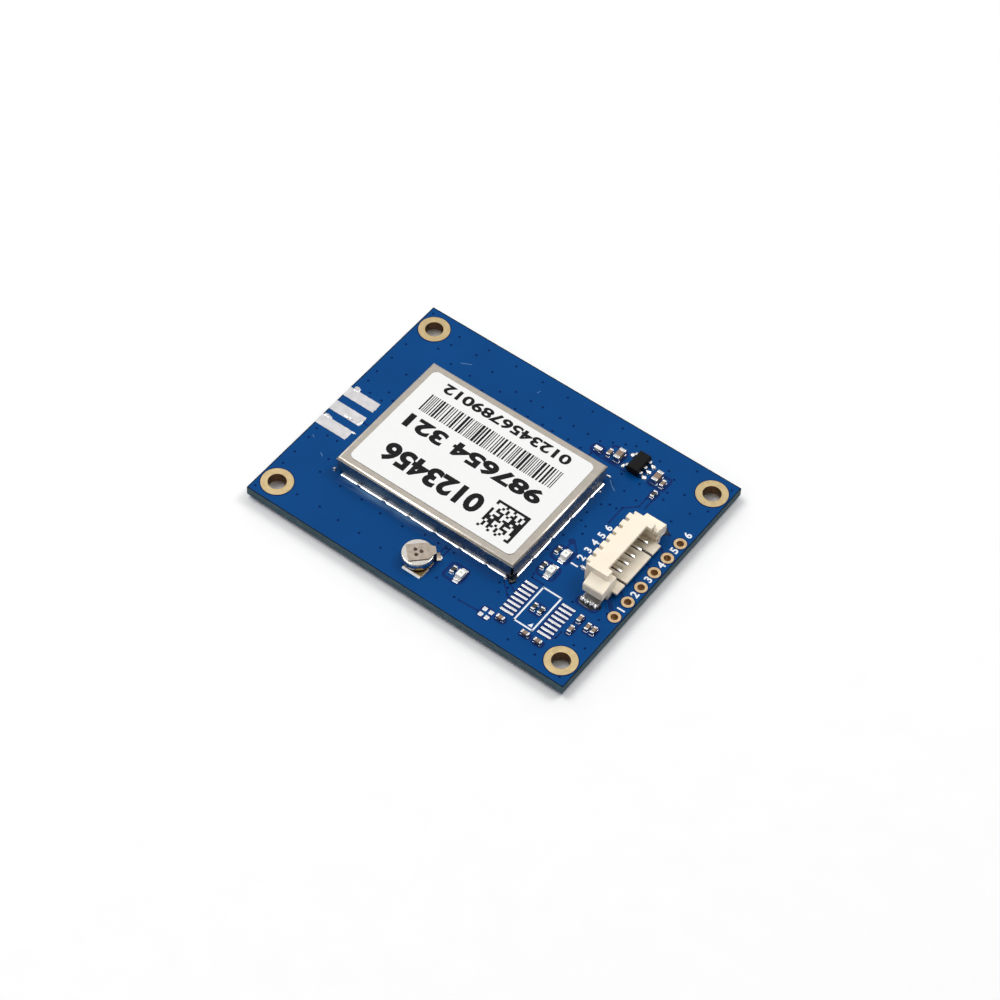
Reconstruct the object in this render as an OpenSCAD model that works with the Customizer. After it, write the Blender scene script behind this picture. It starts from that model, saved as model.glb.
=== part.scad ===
// Satellite positioning module: a blue circuit board that carries a folded shield can,
// a backup cell, a side-entry wire connector, a voltage regulator and small chip parts.
// Millimetres, +Z up. The origin is the middle of the board's underside. +X points at
// the edge with the wire holes, and -X at the edge with the antenna pads.

/* [Board] */
// Thickness of the laminate
board_t = 1.2; // [0.8:0.1:2]
// Strip from the antenna edge to the shield can
antenna_zone = 6.4; // [5.8:0.1:10]
// Strip from the shield can to the connector's back
aisle = 6.13; // [5.8:0.01:10]
// Strip from the connector's mouth to the wire edge
connector_inset = 2.3; // [2.2:0.1:5]
// Strip from the cell edge to the shield can
lower_zone = 8.1; // [7.8:0.1:12]
// Strip from the shield can to the regulator edge
upper_zone = 8.3; // [7.6:0.1:12]
// Height of bare copper and solder above the laminate
pad_rise = 0.04; // [0.02:0.01:0.1]

/* [Mounting holes] */
// Finished diameter of a mounting hole
hole_d = 2.2; // [1.8:0.1:2.6]
// Diameter of the gold ring round a mounting hole
ring_d = 3.8; // [3:0.1:4.2]
// Distance from a hole to the short edge of the board
hole_inset_x = 2.2; // [2.1:0.1:3]
// Distance from a hole to the long edge of the board
hole_inset_y = 2.7; // [2.2:0.1:3.5]
// Thickness of the copper that lines a mounting hole
plating_t = 0.05; // [0.03:0.01:0.1]

/* [Wire holes] */
// Number of wire holes in the row
wire_count = 6; // [2:1:8]
// Distance between two wire holes
wire_pitch = 2.54; // [2:0.01:3]
// Finished diameter of a wire hole
wire_hole_d = 0.9; // [0.7:0.05:1.1]
// Diameter of the ring round a wire hole
wire_ring_d = 1.5; // [1.3:0.05:1.8]
// Distance from the row of wire holes to the board's edge
wire_inset = 1.0; // [0.9:0.05:1.4]
// Offset of the row of wire holes from the board's middle
wire_shift = 0.1; // [-0.5:0.05:0.5]

/* [Bare pads] */
// Length of an antenna edge pad
edge_pad_l = 4.4; // [3:0.1:5]
// Width of an antenna edge pad
edge_pad_w = 1.5; // [1:0.1:2]
// Distance between two antenna edge pads
edge_pad_pitch = 2.55; // [2.2:0.05:3]
// Offset of the antenna edge pads from the board's middle
edge_pad_shift = -1.78; // [-4:0.02:4]
// Number of pads on each side of the empty chip place
chip_pads = 8; // [4:1:10]
// Distance between two pads of the empty chip place
chip_pad_pitch = 0.65; // [0.5:0.05:0.8]
// Length of a pad of the empty chip place
chip_pad_l = 1.7; // [1:0.1:2]
// Width of a pad of the empty chip place
chip_pad_w = 0.3; // [0.2:0.02:0.4]
// Distance between the two rows of pads, middle to middle
chip_row_gap = 5.05; // [4.6:0.05:6]
// Distance from the empty chip place to the wire edge
chip_inset_x = 8.2; // [8:0.1:9]
// Distance from the empty chip place to the cell edge
chip_inset_y = 6.6; // [6.4:0.1:7.5]
// Side of a small square spare pad
spare_pad = 0.52; // [0.3:0.02:0.7]
// Distance between two spare pads
spare_pitch = 0.83; // [0.75:0.01:1]

/* [Shield can] */
// Length of the can
shield_l = 24.8; // [20:0.1:30]
// Width of the can
shield_w = 18; // [14:0.1:24]
// Height of the can above the board
shield_h = 2.4; // [2:0.1:4]
// Thickness of the can's sheet metal
sheet_t = 0.2; // [0.1:0.02:0.3]
// Outer radius of the folds round the top
fold_r = 0.4; // [0.32:0.02:0.6]
// Gap between two walls at a corner seam
seam_gap = 0.06; // [0.03:0.01:0.15]
// Length of the cut-back at the foot of each corner
foot_relief_l = 0.85; // [0.5:0.05:1.2]
// Height of the cut-back at the foot of each corner
foot_relief_h = 0.5; // [0.3:0.05:0.8]
// Diameter of the small holes along the foot
foot_hole_d = 0.5; // [0.3:0.02:0.6]
// Distance between two holes along the foot
foot_hole_pitch = 3.6; // [3:0.1:5]
// Height of the foot holes above the board
foot_hole_z = 0.16; // [0.1:0.02:0.4]
// Width of the solder bead along the foot
bead_w = 0.36; // [0.2:0.02:0.5]
// Height of the solder bead along the foot
bead_h = 0.3; // [0.2:0.02:0.4]
// Thickness of the bead at its two thin edges
bead_edge = 0.06; // [0.03:0.01:0.1]

/* [Label] */
// Bare margin between the label and the can's long sides
label_margin_y = 1.0; // [0.6:0.05:2]
// Bare margin between the label and the can's short sides
label_margin_x = 1.0; // [0.6:0.05:2]
// Radius of the label's corners
label_r = 0.75; // [0.3:0.05:1.5]
// Thickness of the label
label_t = 0.08; // [0.05:0.01:0.15]

/* [Parts under the shield] */
// Side of the receiver chip
receiver_side = 6; // [5:0.1:8]
// Height of the receiver chip
receiver_h = 0.85; // [0.7:0.05:1.2]
// Length of the reference oscillator
oscillator_l = 2.5; // [2:0.1:3.2]
// Width of the reference oscillator
oscillator_w = 2.0; // [1.6:0.1:2.5]
// Height of the reference oscillator
oscillator_h = 0.8; // [0.6:0.05:1.2]
// Length of the clock crystal
crystal_l = 3.2; // [2:0.1:4]
// Width of the clock crystal
crystal_w = 1.5; // [1.2:0.1:2]
// Length of the band filter
filter_l = 1.4; // [1.1:0.1:2]
// Width of the band filter
filter_w = 1.1; // [0.9:0.1:1.6]
// Length of the input amplifier
amplifier_l = 1.5; // [1:0.1:2]
// Width of the input amplifier
amplifier_w = 1.0; // [0.7:0.1:1.5]
// Height of the low parts under the shield
low_part_h = 0.55; // [0.4:0.05:0.8]
// Height of a metal lid as a share of its package's height
lid_share = 0.25; // [0.15:0.01:0.4]
// Margin round a metal lid as a share of its package's width
lid_inset = 0.1; // [0.06:0.01:0.15]
// Radius of a lid's corners as a share of its package's width
lid_corner = 0.12; // [0.05:0.01:0.2]
// Diameter of a first-terminal mark as a share of its package's width
mark_share = 0.12; // [0.06:0.01:0.2]
// Depth of a first-terminal mark
mark_depth = 0.06; // [0.03:0.01:0.1]

/* [Backup cell] */
// Diameter of the cell
cell_d = 3.7; // [3:0.1:4.5]
// Height of the cell without its tabs
cell_h = 1.18; // [0.9:0.02:1.6]
// Diameter of the cap under the cell
cell_cap_d = 2.7; // [2:0.1:2.8]
// Height of the cap below the cell's can
cell_cap_h = 0.22; // [0.15:0.01:0.3]
// Width of the sealing ring round the cap
gasket_w = 0.2; // [0.1:0.02:0.3]
// Height of the sealing ring as a share of the cap's height
gasket_share = 0.65; // [0.4:0.05:0.8]
// Radius of the round edges of the cell
cell_edge_r = 0.14; // [0.1:0.02:0.3]
// Thickness of the cell's two tabs
tab_t = 0.12; // [0.08:0.01:0.2]
// Width of the tab on top of the cell
top_tab_w = 2.26; // [1.6:0.02:2.6]
// Distance from the cell's middle to the top tab's plain end
tab_back = 1.2; // [0.8:0.05:1.4]
// Distance from the cell's middle to the start of the top tab's neck
neck_start = 1.1; // [0.8:0.05:1.3]
// Width of the top tab's neck and leg
neck_w = 1.1; // [0.6:0.05:1.4]
// Length of the foot of the top tab's leg
leg_foot_l = 0.65; // [0.4:0.05:0.9]
// Gap between the cell and the top tab's leg
leg_gap = 0.1; // [0.05:0.01:0.3]
// Side of the square tab under the cell
bottom_tab = 2.45; // [2:0.05:2.8]
// Distance from the cell's outer lines to the bottom tab's edges
bottom_tab_inset = 0.06; // [0:0.02:0.3]
// Turn of the top tab from the board's long side
tab_turn = 45; // [0:5:90]
// Number of weld spots on the top tab
weld_count = 3; // [2:1:4]
// Diameter of a weld spot on the top tab
weld_d = 0.46; // [0.3:0.02:0.6]
// Distance from the cell's middle to a weld spot
weld_ring = 0.42; // [0.36:0.02:0.6]
// Depth of a weld spot
weld_depth = 0.05; // [0.02:0.01:0.07]
// Distance from the cell's middle to the shield can
cell_gap = 4.2; // [4:0.05:5]
// Distance from the cell's middle to the can's wire end
cell_back = 9.9; // [5:0.1:14]

/* [Connector] */
// Number of contacts
pin_count = 6; // [4:2:6]
// Distance between two contacts
pin_pitch = 1.25; // [1.1:0.05:1.3]
// Height of the connector above the board
connector_h = 3.45; // [3.2:0.05:4]
// Depth of the connector from its back to its mouth
connector_depth = 4.37; // [4:0.01:5]
// Offset of the connector from the board's middle
connector_shift = 0.2; // [-0.5:0.05:0.5]
// Depth of the roof
roof_depth = 2.57; // [2.2:0.01:2.8]
// Depth of the roof at its two shoulders
shoulder_depth = 3.2; // [2.9:0.05:3.5]
// Thickness of the roof
roof_t = 0.45; // [0.3:0.05:0.6]
// Thickness of the back wall
back_wall = 1.25; // [1:0.05:1.5]
// Thickness of the floor
floor_t = 0.3; // [0.2:0.02:0.5]
// Gap between the floor and the board
floor_gap = 0.44; // [0.3:0.02:0.6]
// Distance from an end contact to the side of the cavity
cavity_margin = 1.1; // [1:0.05:1.3]
// Distance from an end contact to the end of the roof
roof_margin = 1.5; // [1.4:0.05:1.8]
// Step of the back at the two ends of the roof
end_step = 0.4; // [0.2:0.05:0.6]
// Width of the notches at the two ends of the roof
end_notch_w = 0.25; // [0.15:0.01:0.35]
// Distance from an end contact to the end of the housing
ear_margin = 3.05; // [2.8:0.05:3.3]
// Height of the two ears
ear_h = 2.55; // [2.2:0.05:2.8]
// Height of the ears at their outer sides
ear_side_h = 2.1; // [1.6:0.05:2.15]
// Width of the flat top of the ears
ear_flat = 0.45; // [0.3:0.05:0.8]
// Radius of the ears' outer top edges
ear_r = 0.25; // [0.1:0.05:0.3]
// Distance from the connector's back to the ears
ear_back = 1.07; // [0.8:0.01:1.2]
// Distance from the ears to the connector's mouth
ear_front = 0.65; // [0.4:0.05:0.8]
// Height of the hollow under each ear
ear_hollow_h = 0.95; // [0.7:0.05:1.1]
// Depth of the hollow under each ear
ear_hollow_d = 1.1; // [0.8:0.05:1.3]
// Distance from the floor to the key groove inside each ear
groove_rise = 0.8; // [0.5:0.05:0.9]
// Height of the key groove inside each ear
groove_h = 0.8; // [0.3:0.05:0.9]
// Height of the low groove beside the floor
low_groove_h = 0.35; // [0.2:0.05:0.4]
// Depth of the two grooves inside each ear
groove_d = 0.3; // [0.1:0.02:0.3]
// Thickness of the guide wall beside the first contact
guide_t = 0.52; // [0.3:0.02:0.6]
// Width of the slots in the floor
floor_slot_w = 0.34; // [0.2:0.02:0.4]
// Depth of the slots in the floor
floor_slot_d = 2.95; // [1:0.05:3]
// Width of the slots in the back
back_slot_w = 0.42; // [0.38:0.02:0.5]
// Depth of the slots in the back
back_slot_d = 0.58; // [0.5:0.02:0.7]

/* [Contacts and solder tabs] */
// Width of a contact
contact_w = 0.34; // [0.2:0.02:0.34]
// Thickness of the contact strip
contact_t = 0.2; // [0.12:0.02:0.3]
// Height of a contact pin
pin_h = 0.3; // [0.2:0.02:0.4]
// Height of the pins above the board
pin_z = 1.46; // [1.4:0.02:1.9]
// Drop of a pin's tip as a share of its height
tip_share = 0.35; // [0.1:0.05:0.4]
// Length of a pin's tapered tip
tip_l = 0.55; // [0.3:0.05:0.7]
// Reach of the pins in front of the back wall
pin_reach = 2.04; // [1.6:0.02:2.4]
// Length of a contact's solder tail behind the housing
tail_l = 1.2; // [0.8:0.05:1.5]
// Distance from the housing's back to a contact's stem
stem_inset = 0.2; // [0.1:0.02:0.28]
// Clearance of the contacts in the housing
contact_fit = 0.02; // [0.01:0.01:0.04]
// Length of a solder tab's foot
tab_foot_l = 1.55; // [1.3:0.05:1.8]
// Width of a solder tab
solder_tab_w = 2.2; // [1.8:0.05:2.5]

/* [Regulator] */
// Length of the regulator's body
regulator_l = 2.9; // [2.7:0.05:3.1]
// Width of the regulator's body
regulator_w = 1.6; // [1.4:0.05:1.8]
// Height of the regulator's body
regulator_h = 1.05; // [0.9:0.05:1.3]
// Distance between two leads
lead_pitch = 0.95; // [0.9:0.01:1]
// Width of a lead
lead_w = 0.4; // [0.3:0.02:0.5]
// Thickness of a lead
lead_t = 0.15; // [0.1:0.01:0.2]
// Height where the leads leave the body, as a share of the body's height
lead_rise = 0.42; // [0.3:0.02:0.55]
// Place of a lead's knee as a share of its reach
knee_share = 0.25; // [0.2:0.01:0.3]
// Place of a lead's heel as a share of its reach
heel_share = 0.5; // [0.45:0.01:0.6]
// Reach of a lead beyond the body
lead_reach = 0.65; // [0.5:0.05:0.8]
// Gap between the body and the board
body_lift = 0.06; // [0.03:0.01:0.12]
// Draft of the body's sides
draft = 0.09; // [0.04:0.01:0.14]
// Distance from the shield can's wire end to the regulator
regulator_x = 1.8; // [1.4:0.05:2.2]
// Distance from the shield can to the regulator, across the board
regulator_y = 3.65; // [3.3:0.05:4.5]

/* [Chip parts] */
// Length of a small chip part
small_l = 1.0; // [0.9:0.02:1.1]
// Width of a small chip part
small_w = 0.5; // [0.4:0.02:0.6]
// Height of a small capacitor
small_cap_h = 0.5; // [0.4:0.02:0.6]
// Height of a resistor
resistor_h = 0.35; // [0.25:0.02:0.45]
// Length of a supply capacitor
supply_l = 1.6; // [1.5:0.02:1.8]
// Width of a supply capacitor
supply_w = 0.8; // [0.7:0.02:1]
// Height of a supply capacitor
supply_h = 0.8; // [0.6:0.02:1]
// Length of the metal ends as a share of a chip's length
end_share = 0.25; // [0.15:0.01:0.35]
// Thickness of the metal on the ends
end_t = 0.02; // [0.01:0.005:0.04]
// Length of an indicator light
led_l = 1.7; // [1.5:0.05:1.9]
// Width of an indicator light
led_w = 0.8; // [0.7:0.02:1]
// Height of an indicator light
led_h = 0.6; // [0.5:0.02:0.8]
// Height of the lights' base plate
led_base_h = 0.2; // [0.15:0.01:0.3]
// Length of the lights' metal ends as a share of their length
led_end_share = 0.18; // [0.12:0.01:0.24]
// Slope of the lens ends as a share of the lens height
led_slope = 0.3; // [0.1:0.05:0.6]
// Distance from the backup cell to the light beside it
light_step = 5.13; // [4.4:0.05:6]
// Distance from the shield can to the light beside the cell
light_drop = 3.1; // [2.4:0.05:3.6]
// Gap between a light and its resistor
light_resistor_gap = 0.44; // [0.2:0.02:0.8]
// Distance of a light's resistor from the light's middle line
light_resistor_shift = 0.14; // [-0.3:0.02:0.3]
// Distance from the shield can to the column of lights
led_column = 2.75; // [2.6:0.05:3.2]
// Distance between the two lights of the column
led_gap = 2.7; // [2.4:0.05:3]
// Distance from the can's corner to the first light of the column
led_row = 3.5; // [3:0.05:5]

/* [Places of the supply parts] */
// Gap between the regulator's leads and the input supply capacitor
supply_in_gap = 0.65; // [0.4:0.05:1]
// Gap between the regulator's leads and the output supply capacitor
supply_out_gap = 0.9; // [0.6:0.05:1.2]
// Distance of the supply capacitors from the regulator's middle line
supply_drop = 0.23; // [0:0.01:0.5]
// Gap between the input supply capacitor and its filter capacitor
filter_in_gap = 0.5; // [0.3:0.05:0.8]
// Gap between the output supply capacitor and its filter capacitor
filter_out_gap = 0.3; // [0.2:0.05:0.6]
// Distance of the filter capacitors from the regulator's middle line
filter_drop = 0.52; // [0.3:0.02:0.8]
// Gap between the filter capacitor and the inductor
inductor_gap = 0.6; // [0.4:0.05:1]
// Distance of the inductor from the regulator's middle line
inductor_drop = 0.88; // [0.6:0.02:1.1]
// Gap between the output filter capacitor and the supply resistor
supply_resistor_gap = 0.78; // [0.5:0.02:1]

/* [Places round the empty chip] */
// Gap between the two link resistors
link_gap = 0.38; // [0.2:0.02:0.8]
// Gap between the chip pads and the row of capacitors below them
chip_cap_gap = 0.86; // [0.6:0.02:1.2]
// Shift of that row along the board
chip_cap_shift = 0.08; // [-0.1:0.02:0.3]
// Gap between two capacitors of that row
chip_cap_space = 0.7; // [0.4:0.05:1]
// Gap between the chip pads and the capacitors beside them
side_cap_gap = 0.87; // [0.6:0.01:1.2]
// Distance of the upper side capacitor from the chip's middle
side_cap_up = 1.7; // [1.4:0.05:1.8]
// Gap between the two side capacitors
side_cap_space = 0.77; // [0.4:0.01:1]
// Gap between the side capacitors and the pair in front of them
pair_gap = 0.8; // [0.5:0.05:1]
// Gap between the two capacitors of the pair
pair_space = 0.27; // [0.15:0.01:0.4]
// Distance of the pair below the upper side capacitor
pair_drop = 0.38; // [0.2:0.02:0.5]
// Gap between the chip pads and the spare pads, along the board
spare_gap_x = 0.1; // [0:0.02:0.3]
// Gap between the chip pads and the spare pads, across the board
spare_gap_y = 0.8; // [0.5:0.05:1]

/* [Hidden] */
$fn = 48;
// Overshoot of the cutting shapes
cut = 1;

// Board, worked out from the strips across it
board_l = antenna_zone + shield_l + aisle + connector_depth + connector_inset;
board_w = lower_zone + shield_w + upper_zone;
x_min = -board_l / 2;
x_max = board_l / 2;
y_min = -board_w / 2;

// Shield can
shield_x0 = x_min + antenna_zone;
shield_x1 = shield_x0 + shield_l;
shield_y0 = y_min + lower_zone;
shield_y1 = shield_y0 + shield_w;
shield_x = (shield_x0 + shield_x1) / 2;
shield_y = (shield_y0 + shield_y1) / 2;
seam = sheet_t + seam_gap;

// Holes and bare pads
mount_x = board_l / 2 - hole_inset_x;
mount_y = board_w / 2 - hole_inset_y;
wire_x = x_max - wire_inset;
chip_x = x_max - chip_inset_x;
chip_y = y_min + chip_inset_y;
chip_half_x = (chip_row_gap + chip_pad_l) / 2;
chip_half_y = ((chip_pads - 1) * chip_pad_pitch + chip_pad_w) / 2;
spare_half = (spare_pitch + spare_pad) / 2;
spare_x = chip_x - chip_half_x - spare_gap_x - spare_half;
spare_y = chip_y - chip_half_y - spare_gap_y - spare_half;

// Backup cell
cell_x = shield_x1 - cell_back;
cell_y = shield_y0 - cell_gap;
cell_can_z = tab_t + cell_cap_h;
gasket_h = cell_cap_h * gasket_share;
cell_top_z = tab_t + cell_h;
leg_p = cell_d / 2 + leg_gap;

// Connector
connector_x = x_max - connector_inset - connector_depth;
pin_span = (pin_count - 1) * pin_pitch;
pin_rows = [for (i = [0 : pin_count - 1]) i * pin_pitch - pin_span / 2];
cavity_w = pin_span + 2 * cavity_margin;
roof_w = pin_span + 2 * roof_margin;
housing_w = pin_span + 2 * ear_margin;
shoulder_w = roof_margin - cavity_margin / 2;
shoulder_y = (roof_w - shoulder_w) / 2;
floor_slot_y = (pin_count / 2 - 1) * pin_pitch;
ear_l = connector_depth - ear_back - ear_front;
floor_z = floor_gap + floor_t;
groove_z = floor_z + groove_rise;

// Regulator and the parts beside it, as steps from its middle
regulator_at = [shield_x1 + regulator_x, shield_y1 + regulator_y];
lead_z = body_lift + regulator_h * lead_rise;
left_leads = [-1, 1];
right_leads = [-1, 0, 1];
leads_half = regulator_w / 2 + lead_reach;
supply_in_x = -leads_half - supply_in_gap - supply_w / 2;
supply_out_x = leads_half + supply_out_gap + supply_w / 2;
filter_in_x = supply_in_x - supply_w / 2 - filter_in_gap - small_w / 2;
filter_out_x = supply_out_x + supply_w / 2 + filter_out_gap + small_w / 2;
inductor_x = filter_in_x - small_w / 2 - inductor_gap - small_l / 2;
supply_resistor_y = -filter_drop - small_l - supply_resistor_gap;

// Lights, and the parts round the empty chip
led_x = shield_x1 + led_column;
led_1_at = [cell_x + light_step, shield_y0 - light_drop];
led_2_at = [led_x, shield_y0 + led_row + led_gap];
led_3_at = [led_x, shield_y0 + led_row];
light_resistor_step = [-(led_w + small_w) / 2 - light_resistor_gap, light_resistor_shift];
link_x = (small_w + link_gap) / 2;
chip_cap_y = -chip_half_y - chip_cap_gap - small_w / 2;
chip_cap_1 = [chip_cap_shift - chip_row_gap / 2, chip_cap_y];
chip_cap_3 = [chip_cap_shift + chip_row_gap / 2, chip_cap_y];
chip_cap_2 = chip_cap_3 - [small_l + chip_cap_space, 0];
side_cap_x = chip_half_x + side_cap_gap + small_w / 2;
chip_cap_4 = [side_cap_x, side_cap_up];
chip_cap_5 = chip_cap_4 - [0, small_l + side_cap_space];
chip_cap_6 = chip_cap_4 + [small_w + pair_gap, -pair_drop];
chip_cap_7 = chip_cap_6 + [small_w + pair_space, 0];

// Outline of a rectangle with round corners
module round_rectangle(l, w, r) {
    square([l - 2 * r, w], center = true);
    square([l, w - 2 * r], center = true);
    for (sx = [-1, 1], sy = [-1, 1])
        translate([sx * (l / 2 - r), sy * (w / 2 - r)])
            circle(r);
}

// Section of a box whose two top edges are folded round
module fold_profile(w, h, r) {
    translate([-w / 2, 0])
        square([w, h - r]);
    translate([-w / 2 + r, 0])
        square([w - 2 * r, h]);
    for (side = [-1, 1])
        translate([side * (w / 2 - r), h - r])
            circle(r);
}

// Box with round folds along all four top edges
module folded_box(l, w, h, r) {
    intersection() {
        rotate([90, 0, 0])
            linear_extrude(w, center = true)
                fold_profile(l, h, r);
        rotate([90, 0, 90])
            linear_extrude(l, center = true)
                fold_profile(w, h, r);
    }
}

// Children at the four mounting holes
module at_mounting_holes() {
    for (sx = [-1, 1], sy = [-1, 1])
        translate([sx * mount_x, sy * mount_y, 0])
            children();
}

// Children at each wire hole
module at_wire_holes() {
    for (i = [0 : wire_count - 1])
        translate([wire_x, wire_shift + (i - (wire_count - 1) / 2) * wire_pitch, 0])
            children();
}

// Room in the laminate for a hole, and for the ring let into the board's underside
module hole_room(d, ring) {
    translate([0, 0, -cut])
        cylinder(d = d, h = board_t + 2 * cut);
    translate([0, 0, -cut])
        cylinder(d = ring, h = pad_rise + cut);
}

// Round sleeve that stands on the plane it is drawn on
module sleeve(inner, outer, h) {
    difference() {
        cylinder(d = outer, h = h);
        translate([0, 0, -cut])
            cylinder(d = inner, h = h + 2 * cut);
    }
}

// Copper ring round a hole, on both faces of the board
module ring_pair(d, ring) {
    for (z = [0, board_t])
        translate([0, 0, z])
            sleeve(d, ring, pad_rise);
}

// Flat bare pad that lies on the board, given by its middle
module bare_pad(x, y, l, w) {
    translate([x - l / 2, y - w / 2, board_t])
        cube([l, w, pad_rise]);
}

module circuit_board() {
    color("royalblue")
        difference() {
            translate([x_min, y_min, 0])
                cube([board_l, board_w, board_t]);
            at_mounting_holes()
                hole_room(hole_d + 2 * plating_t, ring_d);
            at_wire_holes()
                hole_room(wire_hole_d, wire_ring_d);
        }
}

module mounting_hole_rings() {
    color("goldenrod")
        at_mounting_holes() {
            ring_pair(hole_d, ring_d);
            sleeve(hole_d, hole_d + 2 * plating_t, board_t + pad_rise);
        }
}

module wire_hole_rings() {
    color("goldenrod")
        at_wire_holes()
            ring_pair(wire_hole_d, wire_ring_d);
}

module antenna_edge_pads() {
    color("gainsboro")
        for (i = [-1 : 1])
            bare_pad(x_min + edge_pad_l / 2, edge_pad_shift + i * edge_pad_pitch,
                edge_pad_l, edge_pad_w);
}

module empty_chip_pads() {
    color("gainsboro")
        for (side = [-1, 1], i = [0 : chip_pads - 1])
            bare_pad(chip_x + side * chip_row_gap / 2,
                chip_y + (i - (chip_pads - 1) / 2) * chip_pad_pitch, chip_pad_l, chip_pad_w);
}

module spare_pads() {
    color("gainsboro")
        for (sx = [-1, 1], sy = [-1, 1])
            bare_pad(spare_x + sx * spare_pitch / 2, spare_y + sy * spare_pitch / 2,
                spare_pad, spare_pad);
}

// Children in the middle of the shield can, on the board
module at_shield() {
    translate([shield_x, shield_y, board_t])
        children();
}

// Row of round holes along the foot of two opposite walls
module foot_holes(side_l, across) {
    count = floor((side_l - 2 * foot_relief_l) / foot_hole_pitch);
    for (i = [0 : count - 1])
        translate([(i - (count - 1) / 2) * foot_hole_pitch, 0, foot_hole_z])
            rotate([90, 0, 0])
                cylinder(d = foot_hole_d, h = across + 2 * cut, center = true);
}

module shield_can() {
    color("silver")
        at_shield()
            difference() {
                folded_box(shield_l, shield_w, shield_h, fold_r);
                translate([0, 0, -cut])
                    folded_box(shield_l - 2 * sheet_t, shield_w - 2 * sheet_t,
                        shield_h - sheet_t + cut, fold_r - sheet_t);
                for (sx = [-1, 1], sy = [-1, 1])
                    translate([sx * shield_l / 2, sy * shield_w / 2, 0]) {
                        cube([2 * seam, 2 * seam, 2 * (shield_h - fold_r)], center = true);
                        cube([2 * foot_relief_l, 2 * foot_relief_l, 2 * foot_relief_h],
                            center = true);
                    }
                foot_holes(shield_l, shield_w);
                rotate(90)
                    foot_holes(shield_w, shield_l);
            }
}

// Solder bead along one wall of the can, starting at the wall's face
module solder_bead(side_l) {
    bead_l = side_l - 2 * foot_relief_l;
    rotate([90, 0, 0])
        linear_extrude(bead_l, center = true)
            polygon([[0, 0], [bead_w, 0], [bead_w, bead_edge], [bead_edge, bead_h], [0, bead_h]]);
}

module shield_solder() {
    color("whitesmoke")
        at_shield()
            for (turn = [0, 180]) {
                rotate(turn)
                    translate([shield_l / 2, 0, 0])
                        solder_bead(shield_w);
                rotate(turn + 90)
                    translate([shield_w / 2, 0, 0])
                        solder_bead(shield_l);
            }
}

module shield_label() {
    color("white")
        at_shield()
            translate([0, 0, shield_h])
                linear_extrude(label_t)
                    round_rectangle(shield_l - 2 * label_margin_x, shield_w - 2 * label_margin_y,
                        label_r);
}

// Flat ceramic package with a metal lid
module lidded_package(l, w, h) {
    lid_h = h * lid_share;
    lid_margin = w * lid_inset;
    lid_r = w * lid_corner;
    translate([-l / 2, -w / 2, 0])
        cube([l, w, h - lid_h]);
    translate([0, 0, h - lid_h])
        linear_extrude(lid_h)
            round_rectangle(l - 2 * lid_margin, w - 2 * lid_margin, lid_r);
}

// Flat moulded package with a round mark for its first terminal
module moulded_package(l, w, h) {
    mark_d = w * mark_share;
    difference() {
        translate([-l / 2, -w / 2, 0])
            cube([l, w, h]);
        translate([-l / 2 + mark_d, w / 2 - mark_d, h - mark_depth])
            cylinder(d = mark_d, h = cut);
    }
}

module receiver_chip() {
    color("dimgray")
        at_shield()
            moulded_package(receiver_side, receiver_side, receiver_h);
}

module reference_oscillator() {
    color("silver")
        at_shield()
            translate([-receiver_side / 2 - oscillator_l, 0, 0])
                lidded_package(oscillator_l, oscillator_w, oscillator_h);
}

module clock_crystal() {
    color("silver")
        at_shield()
            translate([0, -receiver_side / 2 - crystal_w, 0])
                lidded_package(crystal_l, crystal_w, low_part_h);
}

module band_filter() {
    color("silver")
        at_shield()
            translate([-receiver_side / 2 - filter_l, oscillator_w / 2 + filter_w, 0])
                lidded_package(filter_l, filter_w, low_part_h);
}

module input_amplifier() {
    color("dimgray")
        at_shield()
            translate([-receiver_side / 2 - 2 * filter_l - amplifier_l,
                oscillator_w / 2 + filter_w, 0])
                moulded_package(amplifier_l, amplifier_w, low_part_h);
}

// Children in the middle of the backup cell, on the board
module at_cell() {
    translate([cell_x, cell_y, board_t])
        children();
}

module cell_bottom_tab() {
    color("khaki")
        at_cell()
            translate([cell_d / 2 - bottom_tab_inset - bottom_tab, -cell_d / 2 + bottom_tab_inset, 0])
                cube([bottom_tab, bottom_tab, tab_t]);
}

module cell_cap() {
    color("silver")
        at_cell()
            translate([0, 0, tab_t])
                cylinder(d = cell_cap_d, h = cell_cap_h);
}

module cell_gasket() {
    color("dimgray")
        at_cell()
            translate([0, 0, cell_can_z - gasket_h])
                sleeve(cell_cap_d, cell_cap_d + 2 * gasket_w, gasket_h);
}

// The sealed can of the cell, turned from a half section with round edges
module cell_can() {
    can_h = cell_h - cell_cap_h;
    can_r = cell_d / 2;
    color("silver")
        at_cell()
            translate([0, 0, cell_can_z])
                rotate_extrude() {
                    square([can_r - cell_edge_r, can_h]);
                    translate([0, cell_edge_r])
                        square([can_r, can_h - 2 * cell_edge_r]);
                    for (z = [cell_edge_r, can_h - cell_edge_r])
                        translate([can_r - cell_edge_r, z])
                            circle(cell_edge_r);
                }
}

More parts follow.
